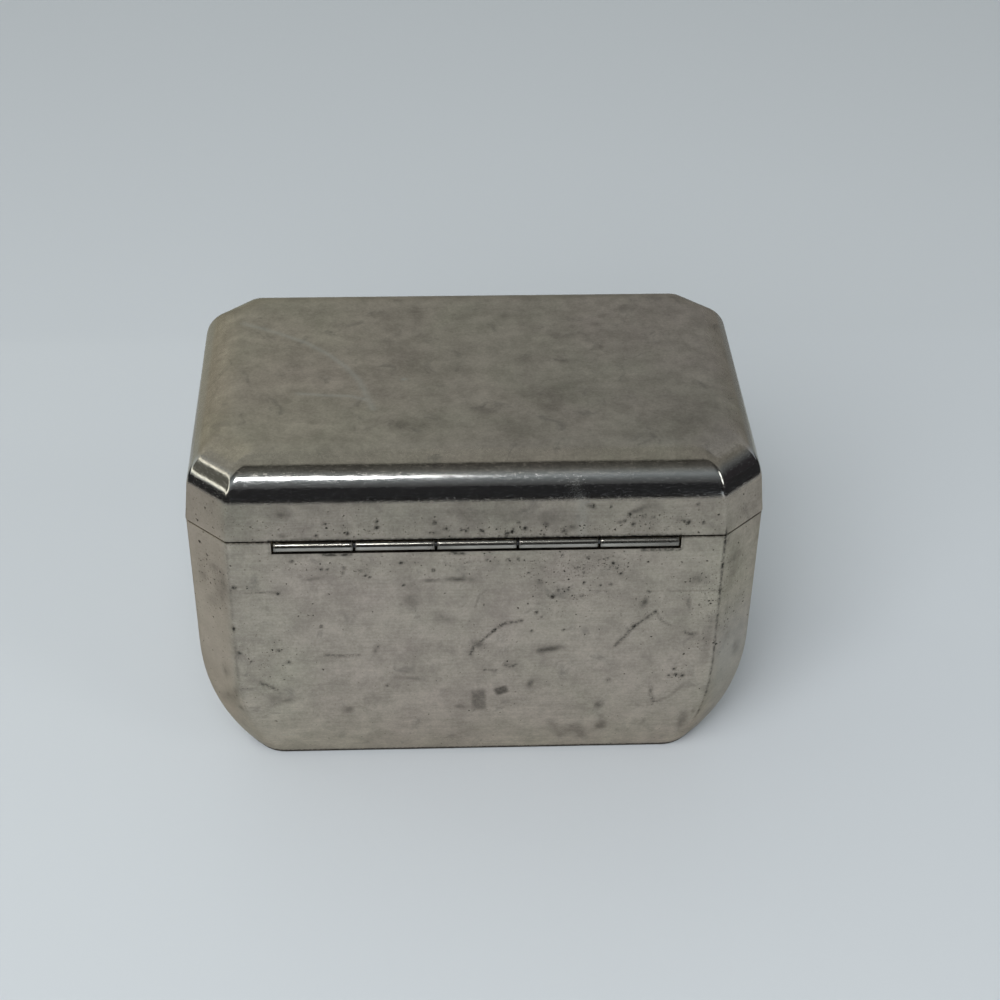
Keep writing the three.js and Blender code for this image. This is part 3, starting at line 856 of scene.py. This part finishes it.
LID_PIT_FIELDS = {
    "over the hinge": ((-12.0, 49.4), (17.0, 1.1), 0, 0.60),
    "left of that": ((16.0, 50.0), (9.0, 1.4), 0, 0.35),
    "right corner": ((-28.0, 51.0), (7.0, 2.0), 0, 0.25),
    "left corner": ((33.0, 50.5), (5.0, 1.5), 0, 0.25),
    "left cant": ((40.8, 51.5), (3.0, 2.5), 0, 0.34),
    "right cant": ((-40.8, 51.5), (3.0, 2.5), 0, 0.24),
}
LONG_ARC = ((37.5, -15.0), (31.7, -11.7), (26.7, -8.2), (22.9, -4.2), (20.0, 0.0))
LONG_ARC += ((17.9, 4.2), (15.7, 12.9))
SHORT_ARC = ((27.5, 7.9), (23.3, 8.5), (19.2, 8.8), (17.1, 10.0))
TOP_SCRATCHES = {"long arc": (LONG_ARC, 0.42, 0.42), "short arc": (SHORT_ARC, 0.36, 0.42)}
BRIGHT_SPECK = {"speck": ((10.8, 3.8), (0.35, 0.35), 0, 0.9)}
EDGE_SCRATCH = {"rub across the edge": (((-14.9, 3.7), (-16.1, 0.6)), 0.9, 0.3)}
SEAM_TICK = {"tick over the seam": ((-38.4, 48.7), (0.18, 0.7), 0, 0.8)}
TOP_CLOUDS = {
    "centre left": ((10.0, -1.0), (3.0, 6.0), 10, 0.22),
    "centre right": ((-13.5, 9.0), (6.0, 3.0), 0, 0.26),
    "heart of that": ((-12.0, 13.0), (1.6, 1.8), 0, 0.20),
    "near right": ((-6.5, 19.5), (3.6, 3.6), 0, 0.22),
    "near middle": ((11.6, 17.2), (1.8, 1.5), 0, 0.34),
    "beside it": ((7.8, 18.0), (1.2, 1.0), 0, 0.22),
    "far right": ((-25.6, -18.6), (1.6, 0.9), 20, 0.26),
    "right": ((-33.0, 17.0), (6.0, 6.5), 0, 0.24),
    "far middle": ((8.6, -18.0), (1.0, 2.6), 0, 0.24),
    "small dark": ((-21.3, -5.9), (0.7, 0.8), 0, 0.36),
    "bar": ((-15.5, -1.4), (1.7, 0.7), 5, 0.28),
    "spot on the right": ((-21.2, -13.4), (1.1, 0.8), 0, 0.32),
    "spot behind it": ((-22.4, -16.2), (0.8, 0.8), 0, 0.28),
    "brown cloud": ((-14.2, -9.6), (1.6, 1.8), 0, 0.22),
    "far spot": ((-6.0, -16.5), (0.9, 0.9), 0, 0.26),
    "far edge spot": ((11.8, -22.4), (1.2, 0.7), 0, 0.24),
    "left cloud": ((15.0, 8.0), (1.6, 1.8), 0, 0.20),
    "middle spot": ((-1.8, 13.6), (1.6, 1.0), 0, 0.20),
    "corner spot": ((38.5, -16.0), (1.2, 1.4), 0, 0.22),
}
print("marks on the lid", len(LID_DABS) + len(LID_PITS) + len(TOP_SCRATCHES) + len(TOP_CLOUDS))


# %% Paint the lid
def lid_layers():
    """The same layers for the lid: its rounded edge is polished between two angles of the edge's arc."""
    x, y, z = (lid_points[..., axis] / MM for axis in range(3))
    outside = (np.arange(x.shape[0]) >= lid_outer_row)[:, None]
    rise = np.degrees(np.arcsin(np.clip((z - edge_up / MM) / (LID_EDGE_RADIUS / MM), 0, 1)))
    along_edge = np.radians(rise) * LID_EDGE_RADIUS / MM
    rear = outside * (y > 20)
    wall_side = outside * (rise < 20) * smooth_step(y, 20, 24)
    top_side = outside * smooth_step(rise, 70, 85)

    dirt_and_shade = {
        "rim": 0.5 * outside * less_on_cants(x) * fade(z - LID_RIM / MM, 0.2),
        "hinge": 0.6 * outside * near_hinge(x, y) * fade(z - LID_RIM / MM, 0.35),
        "seam": rear * dabs(x, z, SEAM_TICK),
        "pits": wall_side * dots(x, z, LID_PITS),
    }
    smudge_and_shade = dabs(x, z, LID_DABS) * wall_side + dabs(x, y, TOP_CLOUDS) * top_side
    pitting = outside * STRAY_PITS * (rise < 5) + wall_side * dabs(x, z, LID_PIT_FIELDS)
    scuff = (strokes(x, y, TOP_SCRATCHES) + dabs(x, y, BRIGHT_SPECK)) * top_side
    scuff = scuff + strokes(x, along_edge, EDGE_SCRATCH) * rear
    layers = {"smudge_and_shade": smudge_and_shade, "grime": sum(dirt_and_shade.values()), "pitting": pitting, "scuff": scuff}

    hinge_side = 0.45 + 0.55 * smooth_step(y, 12, 22)
    edge = outside * hinge_side * smooth_step(rise, 4, 14) * (1 - smooth_step(rise, 60, 78))
    handled = HANDLED_SIDES * outside * (rise < 20) * (1 - smooth_step(y, 15, 24))
    rubbed_and_painted_light = outside * hinge_side * smooth_step(rise, 8, 16) * (1 - smooth_step(rise, 36, 48))
    # painted reflection: the lid's left cant is made warmer, for the warm light it reflects
    painted_warm_reflection = WARM_REFLECTION_FORCE * wall_side * smooth_step(x, 38, 39.5)
    return layers | {"polish": np.maximum(edge, handled), "rubbed_and_painted_light": rubbed_and_painted_light, "painted_warm_reflection": painted_warm_reflection}


paint(lid, **lid_layers())

# %% [markdown]
# ## Finishes
# Each finish is a small tree of nodes that reads the object's own coordinates in millimetres, so a pit or
# a brush line has a real size. Short helpers keep the trees readable.


# %% Node helpers
def node(tree, kind, inputs=None, **settings):
    """Adds a node, sets its options, and fills its sockets with links or plain values."""
    made = tree.nodes.new("ShaderNode" + kind)
    for name, value in settings.items():
        setattr(made, name, value)
    for socket, value in (inputs or {}).items():
        if isinstance(value, bpy.types.NodeSocket):
            tree.links.new(value, made.inputs[socket])
        else:
            made.inputs[socket].default_value = value
    return made


def arith(tree, operation, first, second=0.0):
    """One step of arithmetic on two numbers."""
    return node(tree, "Math", {0: first, 1: second}, operation=operation).outputs[0]


def product(tree, first, *others):
    """Several numbers multiplied together."""
    for other in others:
        first = arith(tree, "MULTIPLY", first, other)
    return first


def greatest(tree, first, *others):
    """The greatest of several numbers."""
    for other in others:
        first = arith(tree, "MAXIMUM", first, other)
    return first


def ease(tree, value, start, end, low=0.0, high=1.0):
    """Maps a number from one range to another along an S-shaped curve."""
    sockets = {"Value": value, "From Min": start, "From Max": end, "To Min": low, "To Max": high}
    return node(tree, "MapRange", sockets, interpolation_type="SMOOTHSTEP").outputs[0]


def blend(tree, factor, first, second):
    """Mixes two colours."""
    return node(tree, "Mix", {0: factor, 6: first, 7: second}, data_type="RGBA").outputs[2]


def between(tree, factor, first, second):
    """Mixes two numbers."""
    return node(tree, "Mix", {0: factor, 2: first, 3: second}, data_type="FLOAT").outputs[0]


def colour_ramp(tree, value, stops):
    """A colour by a number, from a list of (position, colour) stops."""
    made = node(tree, "ValToRGB", {0: value})
    elements = made.color_ramp.elements
    elements[0].position, elements[1].position = stops[0][0], stops[-1][0]
    for position, _ in stops[1:-1]:
        elements.new(position)
    for element, (_, colour) in zip(elements, stops):
        element.color = (*colour, 1)
    return made.outputs[0]


def millimetres(tree, stretch=(1, 1, 1)):
    """The object's own coordinates in millimetres, stretched for grain that runs one way."""
    place = node(tree, "TexCoord").outputs["Object"]
    scale = tuple(share / MM for share in stretch)
    return node(tree, "Mapping", {"Vector": place, "Scale": scale}).outputs[0]


def noise(tree, place, scale, detail=3.0, roughness=0.5, distortion=0.0):
    """Cloudy noise with the given number of lumps to a millimetre."""
    sockets = {"Vector": place, "Scale": scale, "Detail": detail}
    sockets |= {"Roughness": roughness, "Distortion": distortion}
    return node(tree, "TexNoise", sockets).outputs[0]


def sheet_map(tree):
    """The sheet's own map in millimetres, which follows the metal round its bends."""
    return node(tree, "UVMap", uv_map="sheet").outputs[0]


def painted(tree, layer):
    """A layer of numbers painted on the vertices."""
    return node(tree, "Attribute", attribute_name=layer).outputs["Fac"]


def new_finish(name):
    """An empty metal finish: the material, its tree and its shader."""
    material = bpy.data.materials.new(name)
    material.use_nodes = True
    shader = material.node_tree.nodes["Principled BSDF"]
    shader.inputs["Metallic"].default_value = 1
    return material, material.node_tree, shader


print("node helpers ready")

# %% [markdown]
# ## Worn plate
# Old silver plate is grey with a warm cast, cloudy from polishing, and pitted where damp got under it.
# Pits come from a cell pattern: each cell has one pit with its own size, and the painted density decides
# how many cells have one. The rubbed edge is brighter and glossier, and dirt and painted shade are dull and
# dark.

# %% Colour of the plate
GREENISH = (0.43, 0.396, 0.322)
MIDDLE = (0.442, 0.392, 0.33)
PINKISH = (0.452, 0.39, 0.338)
STAIN = (0.2, 0.185, 0.165, 1)
# Colour of the painted warm reflection on the left cants.
WARM_REFLECTION_COLOUR = (0.535, 0.445, 0.36, 1)
# Colour of rubbed plate, also used as painted light on the right cant.
RUBBED_AND_PAINTED_LIGHT = (0.5, 0.505, 0.5, 1)
SCUFFED = (0.58, 0.57, 0.53, 1)
# Painted light: the colour grows up to this much lighter towards the bottom of the curved foot, for the
# floor it reflects.
FOOT_PAINTED_LIGHT = 1.15


def plate_tone(tree, place, mottle, brush):
    """Slow drift from greenish to pinkish grey, times blotches, speckle, brush lines and painted light on
    the foot, then covered in turn by soft stains, a painted warm reflection, rubbed places and a cant
    painted lighter, and scuffed places."""
    cloud = noise(tree, place, 0.045, 5, 0.6, 0.4)
    grain = noise(tree, place, 2.4, 4, 0.75)
    stains = noise(tree, place, 0.2, 6, 0.68, 0.8)
    up = node(tree, "SeparateXYZ", {0: place}).outputs[2]
    drift = colour_ramp(tree, cloud, [(0.3, GREENISH), (0.5, MIDDLE), (0.7, PINKISH)])
    blotches = ease(tree, mottle, 0.28, 0.72, 0.82, 1.14)
    speckle = ease(tree, grain, 0.25, 0.75, 0.88, 1.12)
    lines = ease(tree, brush, 0.25, 0.75, 0.94, 1.06)
    # painted light: lighter towards the bottom of the foot's curve
    painted_light = ease(tree, up, CURVE_START / MM, 0.0, 1.0, FOOT_PAINTED_LIGHT)
    shade = product(tree, blotches, speckle, lines, painted_light)
    tone = node(tree, "VectorMath", {0: drift, "Scale": shade}, operation="SCALE").outputs[0]
    tone = blend(tree, ease(tree, stains, 0.55, 0.72, 0.0, 0.5), tone, STAIN)
    for layer, colour in {"painted_warm_reflection": WARM_REFLECTION_COLOUR, "rubbed_and_painted_light": RUBBED_AND_PAINTED_LIGHT, "scuff": SCUFFED}.items():
        tone = blend(tree, painted(tree, layer), tone, colour)
    return tone


print("colours of the plate ready")

# %% Dirt, painted shade and pits
# Colour of painted dirt and of painted shade.
DIRT_AND_SHADE = (0.055, 0.05, 0.045, 1)
PIT_AND_SHADE_COLOUR = (0.016, 0.014, 0.012, 1)
RAGGED = 0.5
RAGGED_SCALE = 2.4
PIT_KINDS = {
    "large": (0.6, 0.12, 0.3, 0.4),
    "middling": (1.3, 0.08, 0.18, 1.0),
    "small": (2.9, 0.04, 0.085, 1.0),
}


def plate_dirt_and_shade(tree, place):
    """Painted smudges and shade broken by cloudy noise, and painted grime and shade broken by finer noise
    unless thick.
    """
    cloudy = ease(tree, noise(tree, place, 1.1, 4, 0.65), 0.3, 0.62, 0.7, 1.15)
    broken = ease(tree, noise(tree, place, 1.9, 4, 0.65), 0.36, 0.6, 0.3, 1.25)
    grime = painted(tree, "grime")
    thick = ease(tree, grime, 0.85, 1.0)
    soft_dirt_and_shade = product(tree, painted(tree, "smudge_and_shade"), cloudy)
    hard_dirt_and_shade = between(tree, thick, product(tree, grime, broken), grime)
    return arith(tree, "MINIMUM", greatest(tree, soft_dirt_and_shade, hard_dirt_and_shade), 1.0)


def ragged_map(tree):
    """The sheet's map plus a small wobble of noise, so that round pits get ragged edges."""
    sheet = sheet_map(tree)
    sockets = {"Vector": sheet, "Scale": RAGGED_SCALE, "Detail": 3}
    wobble = node(tree, "TexNoise", sockets, noise_dimensions="2D").outputs["Color"]
    shifted = {0: wobble, 1: (RAGGED, RAGGED, 0), 2: sheet}
    return node(tree, "VectorMath", shifted, operation="MULTIPLY_ADD").outputs[0]


def pits(tree, ragged, cells, smallest, largest, density):
    """One pit in a cell: inside its radius and only where the cell's lot is below the density."""
    cell = node(tree, "TexVoronoi", {"Vector": ragged, "Scale": cells}, voronoi_dimensions="2D")
    lots = node(tree, "SeparateColor", {0: cell.outputs["Color"]}).outputs
    radius = ease(tree, lots[1], 0.2, 1.0, smallest * cells, largest * cells)
    inside = arith(tree, "SUBTRACT", radius, cell.outputs["Distance"])
    soft = ease(tree, inside, 0.0, smallest * cells)
    chosen = arith(tree, "LESS_THAN", lots[0], density)
    depth = ease(tree, lots[2], 0.0, 1.0, 0.35, 0.92)
    return product(tree, soft, chosen, depth)


def plate_holes(tree):
    """The deepest of three kinds of pits. Each kind has its cells to a millimetre, its smallest and largest
    radius and its share of the painted density."""
    ragged = ragged_map(tree)
    density = painted(tree, "pitting")
    kinds = []
    for cells, smallest, largest, share in PIT_KINDS.values():
        kinds.append(pits(tree, ragged, cells, smallest, largest, product(tree, density, share)))
    return greatest(tree, *kinds)


print("kinds of pits", list(PIT_KINDS))

# %% Worn plate
GRAZING = (0.62, 0.59, 0.53, 1)
NICKED_GLOSS = 0.27
DULL_GLOSS = 0.5
WAVE_HEIGHT = 0.05
TOOTH_HEIGHT = 0.006
PIT_DEPTH = 0.06


def plate_gloss(tree, mottle, brush):
    """Roughness: matte with brush lines, or glossy with hairlines and nicks where polish is painted."""
    matte = ease(tree, mottle, 0.3, 0.7, 0.33, 0.27)
    matte = arith(tree, "ADD", matte, ease(tree, brush, 0.3, 0.7, 0.0, 0.06))
    hairlines = noise(tree, millimetres(tree, (0.12, 0.12, 1.0)), 5.0, 3, 0.6)
    along = node(tree, "Mapping", {"Vector": sheet_map(tree), "Scale": (0.3, 1.0, 1.0)}).outputs[0]
    nicks = ease(tree, noise(tree, along, 3.8, 3, 0.7), 0.545, 0.64)
    glossy = between(tree, nicks, ease(tree, hairlines, 0.35, 0.75, 0.07, 0.18), NICKED_GLOSS)
    return between(tree, painted(tree, "polish"), matte, glossy)


def plate_relief(tree, place, holes):
    """Height in millimetres: slow waves plus a fine tooth, minus the pits."""
    wave = product(tree, noise(tree, place, 0.13, 2, 0.5), WAVE_HEIGHT)
    tooth = product(tree, noise(tree, place, 1.4, 4, 0.6), TOOTH_HEIGHT)
    height = arith(tree, "SUBTRACT", arith(tree, "ADD", wave, tooth), product(tree, holes, PIT_DEPTH))
    return node(tree, "Bump", {"Strength": 1.0, "Distance": MM, "Height": height}).outputs[0]


def worn_plate():
    """Cloudy silver plate: its tone under dirt, painted shade and pits, dull wherever something covers the
    metal.
    """
    material, tree, shader = new_finish("worn_silver_plate")
    place = millimetres(tree)
    mottle = noise(tree, place, 0.26, 7, 0.7)
    brush = noise(tree, millimetres(tree, (0.05, 0.05, 1.0)), 2.6, 3, 0.6)
    dirt_and_shade = plate_dirt_and_shade(tree, place)
    holes = plate_holes(tree)
    colour = blend(tree, dirt_and_shade, plate_tone(tree, place, mottle, brush), DIRT_AND_SHADE)
    covered = greatest(tree, painted(tree, "scuff"), dirt_and_shade, holes)
    gloss = between(tree, covered, plate_gloss(tree, mottle, brush), DULL_GLOSS)
    shader.inputs["Specular Tint"].default_value = GRAZING
    tree.links.new(blend(tree, holes, colour, PIT_AND_SHADE_COLOUR), shader.inputs["Base Color"])
    tree.links.new(gloss, shader.inputs["Roughness"])
    tree.links.new(plate_relief(tree, place, holes), shader.inputs["Normal"])
    return material


silver = worn_plate()
print("worn plate nodes", len(silver.node_tree.nodes))

# %% [markdown]
# ## Bright plate, brass and wire
# The knuckles and the tab are rubbed bright. The collar and the grooved strips inside are bare brass that
# has gone dull. The pin is drawn steel wire, with lines along its length.


# %% The other finishes
GRIMY_GLOSS = 0.6


def metal_finish(name, dark, light, lump, gloss, stretch=(1, 1, 1)):
    """A metal whose colour and gloss vary together with one noise, from dark and rough to light and smooth.
    Painted grime and painted shade cover both."""
    material, tree, shader = new_finish(name)
    smooth, rough = gloss
    grime = painted(tree, "grime")
    patchy = noise(tree, millimetres(tree, stretch), lump, 4, 0.6)
    clean = colour_ramp(tree, patchy, [(0.32, dark), (0.66, light)])
    roughness = ease(tree, patchy, 0.3, 0.7, rough, smooth)
    tree.links.new(blend(tree, grime, clean, PIT_AND_SHADE_COLOUR), shader.inputs["Base Color"])
    tree.links.new(between(tree, grime, roughness, GRIMY_GLOSS), shader.inputs["Roughness"])
    return material


bright = metal_finish(
    "bright_silver_plate",
    dark=(0.26, 0.245, 0.22),
    light=(0.46, 0.44, 0.4),
    lump=0.5,
    gloss=(0.16, 0.28),
    stretch=(0.3, 1, 1),
)
brass = metal_finish(
    "dull_brass",
    dark=(0.2, 0.165, 0.11),
    light=(0.34, 0.29, 0.2),
    lump=0.5,
    gloss=(0.34, 0.5),
)
wire = metal_finish(
    "steel_wire",
    dark=(0.1, 0.1, 0.105),
    light=(0.2, 0.2, 0.21),
    lump=1.2,
    gloss=(0.4, 0.55),
    stretch=(0.1, 1, 1),
)
print("finishes", [finish.name for finish in (silver, bright, brass, wire)])

# %% [markdown]
# ## Stage and light
# Metal shows its surroundings, so the light is mostly a room to reflect: a pale floor, a pale wall behind
# the box, a dim ceiling and a dark side where the viewer stands. A strip lamp draws the bright line along
# the lid's rounded edge. The cards exist only in reflections, as a photographer's cards stand outside the
# picture.

# %% Floor
FLOOR_HALF = 3.0
FLOOR_COLOUR = (0.61, 0.655, 0.705)
STAGE_ROUGHNESS = 0.6


def flat_square(name, corners, colour):
    """One flat quad of the stage with a plain rough material."""
    panel = make_piece(name, corners, [[0, 1, 2, 3]])
    material = bpy.data.materials.new(name)
    material.use_nodes = True
    shader = material.node_tree.nodes["Principled BSDF"]
    shader.inputs["Base Color"].default_value = (*colour, 1)
    shader.inputs["Roughness"].default_value = STAGE_ROUGHNESS
    panel.data.materials.append(material)
    return panel


floor_corners = np.array([[-1, -1, 0], [1, -1, 0], [1, 1, 0], [-1, 1, 0]]) * FLOOR_HALF
flat_square("pale_floor", floor_corners, FLOOR_COLOUR)

# %% Cards
DARK = (0.012, 0.011, 0.012)
PALE = (0.38, 0.405, 0.4)
WALL_GLOW = [
    (0.2, (0.325, 0.35, 0.37)),
    (0.5, (0.37, 0.395, 0.4)),
    (0.8, (0.46, 0.49, 0.465)),
    (1.0, (0.52, 0.54, 0.5)),
]
GLOW_HALF = 0.1


def only_in_reflections(panel, glow):
    """A card that neither the camera nor the light sees, with a glow of its own."""
    panel.visible_camera = False
    panel.visible_diffuse = False
    panel.visible_shadow = False
    shader = panel.data.materials[0].node_tree.nodes["Principled BSDF"]
    shader.inputs["Base Color"].default_value = (0, 0, 0, 1)
    shader.inputs["Emission Color"].default_value = (*glow, 1)
    shader.inputs["Emission Strength"].default_value = 1


def upright(start, end, height):
    """Corners of an upright rectangle that stands on the floor between two points."""
    return [(*start, 0), (*end, 0), (*end, height), (*start, height)]


CARDS = {
    "wall_card": (upright((-0.7, -0.118), (0.7, -0.118), 0.4), PALE),
    "viewer_card": (upright((-0.07, 0.2), (0.3, 0.2), 0.12), DARK),
    "left_card": (upright((0.21, -0.1), (0.21, 0.2), 0.06), DARK),
    "right_card": (upright((-0.21, -0.1), (-0.21, 0.4), 0.075), DARK),
}
cards = {name: flat_square(name, corners, DARK) for name, (corners, _) in CARDS.items()}
for name, card in cards.items():
    only_in_reflections(card, CARDS[name][1])

wall_tree = cards["wall_card"].data.materials[0].node_tree
sideways = node(wall_tree, "SeparateXYZ", {0: node(wall_tree, "TexCoord").outputs["Object"]}).outputs[0]
sockets = {"Value": sideways, "From Min": -GLOW_HALF, "From Max": GLOW_HALF}
share = node(wall_tree, "MapRange", sockets).outputs[0]
glow_socket = wall_tree.nodes["Principled BSDF"].inputs["Emission Color"]
wall_tree.links.new(colour_ramp(wall_tree, share, WALL_GLOW), glow_socket)

# %% [markdown]
# ## Room
# The rest of the room is the world: a ramp of greys from the far wall over the ceiling to the dark behind
# the viewer. A window with a bright frame lies on the left, and two small lights on the right. The camera
# itself sees a plain pale backdrop, because the room is there only for the metal to mirror.

# %% Room
ROOM_STOPS = [
    (0.0, PALE),
    (0.57, (0.39, 0.41, 0.4)),
    (0.59, (0.075, 0.078, 0.075)),
    (0.66, (0.14, 0.15, 0.155)),
    (0.715, (0.27, 0.295, 0.3)),
    (0.765, (0.34, 0.365, 0.37)),
    (0.82, (0.18, 0.19, 0.19)),
    (0.87, (0.1, 0.1, 0.1)),
    (0.93, (0.022, 0.021, 0.022)),
    (1.0, (0.018, 0.017, 0.018)),
]
WINDOW_MIDDLE = (0.1, 0.33)
WINDOW_HALF = (0.5, 0.2)
WINDOW_SQUEEZE = (0.38, 1.0)
WINDOW_ROUND = 0.17
SIDE_TO_SIDE = 0.9
PANE = (0.145, 0.14, 0.115, 1)
FRAME_LINE = (2.15, 2.07, 1.75, 1)
DARK_CORNER = (0.035, 0.032, 0.034, 1)
SPOT_GLOW = (2.6, 2.6, 2.4, 1)
BACKDROP = (0.52, 0.54, 0.55, 1)
SPOTS = {"upper spot": (-0.66, 0.46, 0.6), "lower spot": (-0.69, 0.6, 0.41)}
SPOT_ANGLES = (math.cos(math.radians(9)), math.cos(math.radians(5)))


def studio_world():
    """Room colour by the angle of a direction in the camera's upright plane: 0 behind the box, 90 overhead,
    180 behind the viewer. A framed window lies to +X and a dark corner to -X."""
    world = bpy.data.worlds.new("studio")
    world.use_nodes = True
    tree = world.node_tree
    place = node(tree, "TexCoord").outputs["Generated"]
    x, y, z = node(tree, "SeparateXYZ", {0: place}).outputs
    angle = arith(tree, "ARCTAN2", z, arith(tree, "MULTIPLY", y, -1.0))
    room = colour_ramp(tree, arith(tree, "DIVIDE", angle, math.pi), ROOM_STOPS)
    slightly = node(tree, "Clamp", {"Value": x, "Min": -0.4, "Max": 0.12}).outputs[0]
    lean = arith(tree, "ADD", arith(tree, "MULTIPLY", slightly, SIDE_TO_SIDE), 1.0)
    room = node(tree, "VectorMath", {0: room, "Scale": lean}, operation="SCALE").outputs[0]

    def beyond(part, axis):
        """How far a direction lies outside the window's half size on one axis, plus the corner's round."""
        offset = arith(tree, "ABSOLUTE", arith(tree, "SUBTRACT", part, WINDOW_MIDDLE[axis]))
        outside = arith(tree, "SUBTRACT", offset, WINDOW_HALF[axis])
        return arith(tree, "ADD", arith(tree, "MULTIPLY", outside, WINDOW_SQUEEZE[axis]), WINDOW_ROUND)

    across, upward = beyond(y, 0), beyond(z, 1)
    squares = [arith(tree, "POWER", arith(tree, "MAXIMUM", part, 0.0), 2.0) for part in (across, upward)]
    outer = arith(tree, "SQRT", arith(tree, "ADD", *squares))
    inner = arith(tree, "MINIMUM", arith(tree, "MAXIMUM", across, upward), 0.0)
    edge = arith(tree, "SUBTRACT", arith(tree, "ADD", outer, inner), WINDOW_ROUND)
    on_left = ease(tree, x, 0.3, 0.45)
    pane = arith(tree, "MULTIPLY", on_left, ease(tree, edge, 0.02, -0.02))
    thickness = ease(tree, z, 0.1, 0.5, 0.075, 0.04)
    from_line = arith(tree, "DIVIDE", arith(tree, "ABSOLUTE", edge), thickness)
    frame_line = arith(tree, "MULTIPLY", on_left, ease(tree, from_line, 1.0, 0.0))
    room = blend(tree, pane, room, PANE)
    room = blend(tree, frame_line, room, FRAME_LINE)
    corner = arith(tree, "MULTIPLY", ease(tree, x, -0.3, -0.5), ease(tree, z, 0.65, 0.3))
    room = blend(tree, corner, room, DARK_CORNER)
    for direction in SPOTS.values():
        towards = tuple(Vector(direction).normalized())
        cosine = node(tree, "VectorMath", {0: place, 1: towards}, operation="DOT_PRODUCT").outputs["Value"]
        room = blend(tree, ease(tree, cosine, *SPOT_ANGLES), room, SPOT_GLOW)

    seen = node(tree, "Background", {"Color": BACKDROP})
    mirrored = tree.nodes["Background"]
    tree.links.new(room, mirrored.inputs["Color"])
    camera_ray = node(tree, "LightPath").outputs["Is Camera Ray"]
    mixed = node(tree, "MixShader", {0: camera_ray, 1: mirrored.outputs[0], 2: seen.outputs[0]})
    tree.links.new(mixed.outputs[0], tree.nodes["World Output"].inputs["Surface"])
    return world


scene.world = studio_world()
print("room nodes", len(scene.world.node_tree.nodes))


# %% [markdown]
# ## Lamps
# A large soft lamp lights the floor and gives the box its shadow, and it is kept out of reflections so
# that the metal doesn't show it. A small strip does the opposite work: it is there to be mirrored in the
# lid's edge.

# %% Lamps
LAMPS = {
    "soft": {
        "place": (0.3, 0.9, 0.82),
        "target": (0, 0, 0),
        "size": (0.9, 0.9),
        "power": 13.8,
        "colour": (1.0, 0.99, 0.97),
        "in_reflections": False,
    },
    "strip": {
        "place": (0.16, 0.85, 0.84),
        "target": (0, 0.03, 0.06),
        "size": (0.26, 0.08),
        "power": 1.5,
        "colour": (1.0, 1.0, 1.0),
        "in_reflections": True,
    },
}


def area_lamp(name, place, target, size, power, colour, in_reflections):
    """A rectangular lamp at a place, facing a target."""
    data = bpy.data.lights.new(name, "AREA")
    data.shape = "RECTANGLE"
    data.size, data.size_y = size
    data.energy = power
    data.color = colour
    lamp = bpy.data.objects.new(name, data)
    lamp.location = place
    lamp.rotation_mode = "QUATERNION"
    lamp.rotation_quaternion = (Vector(target) - Vector(place)).to_track_quat("-Z", "Y")
    lamp.visible_glossy = in_reflections
    lamp.visible_camera = False
    scene.collection.objects.link(lamp)


for name, settings in LAMPS.items():
    area_lamp(name, **settings)
print("lamps", list(LAMPS))

# %% [markdown]
# ## Joining the frame
# Each piece rides on the body it belongs to and stands for its solid, so the lid's pieces swing with the
# lid.

# %% Ride, replace and slot
PLACES = [
    (wall, "body", "body_wall", "worn_plate", silver),
    (plate, "body", "base_plate", "worn_plate", silver),
    (collar, "body", "rim_bezel", "dull_brass", brass),
    (lid, "lid", "lid_shell", "worn_plate", silver),
    (lift, "lid", "thumb_lift", "polished_plate", bright),
]
PLACES += [(tubes[name], body, name, "polished_plate", bright) for name, body in KNUCKLE_NODES.items()]
for piece, body, name, slot, finish in PLACES:
    piece.data.materials.append(finish)
    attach(piece, body)
    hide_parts(name)

KEPT_SOLIDS = {"body_hinge_bearer": brass, "lid_hinge_bearer": brass, "hinge_pin": wire}
for name, finish in KEPT_SOLIDS.items():
    solid = frame["nodes"][name]
    solid.data.materials.clear()
    solid.data.materials.append(finish)
print("pieces", len(PLACES), "kept solids", list(KEPT_SOLIDS))
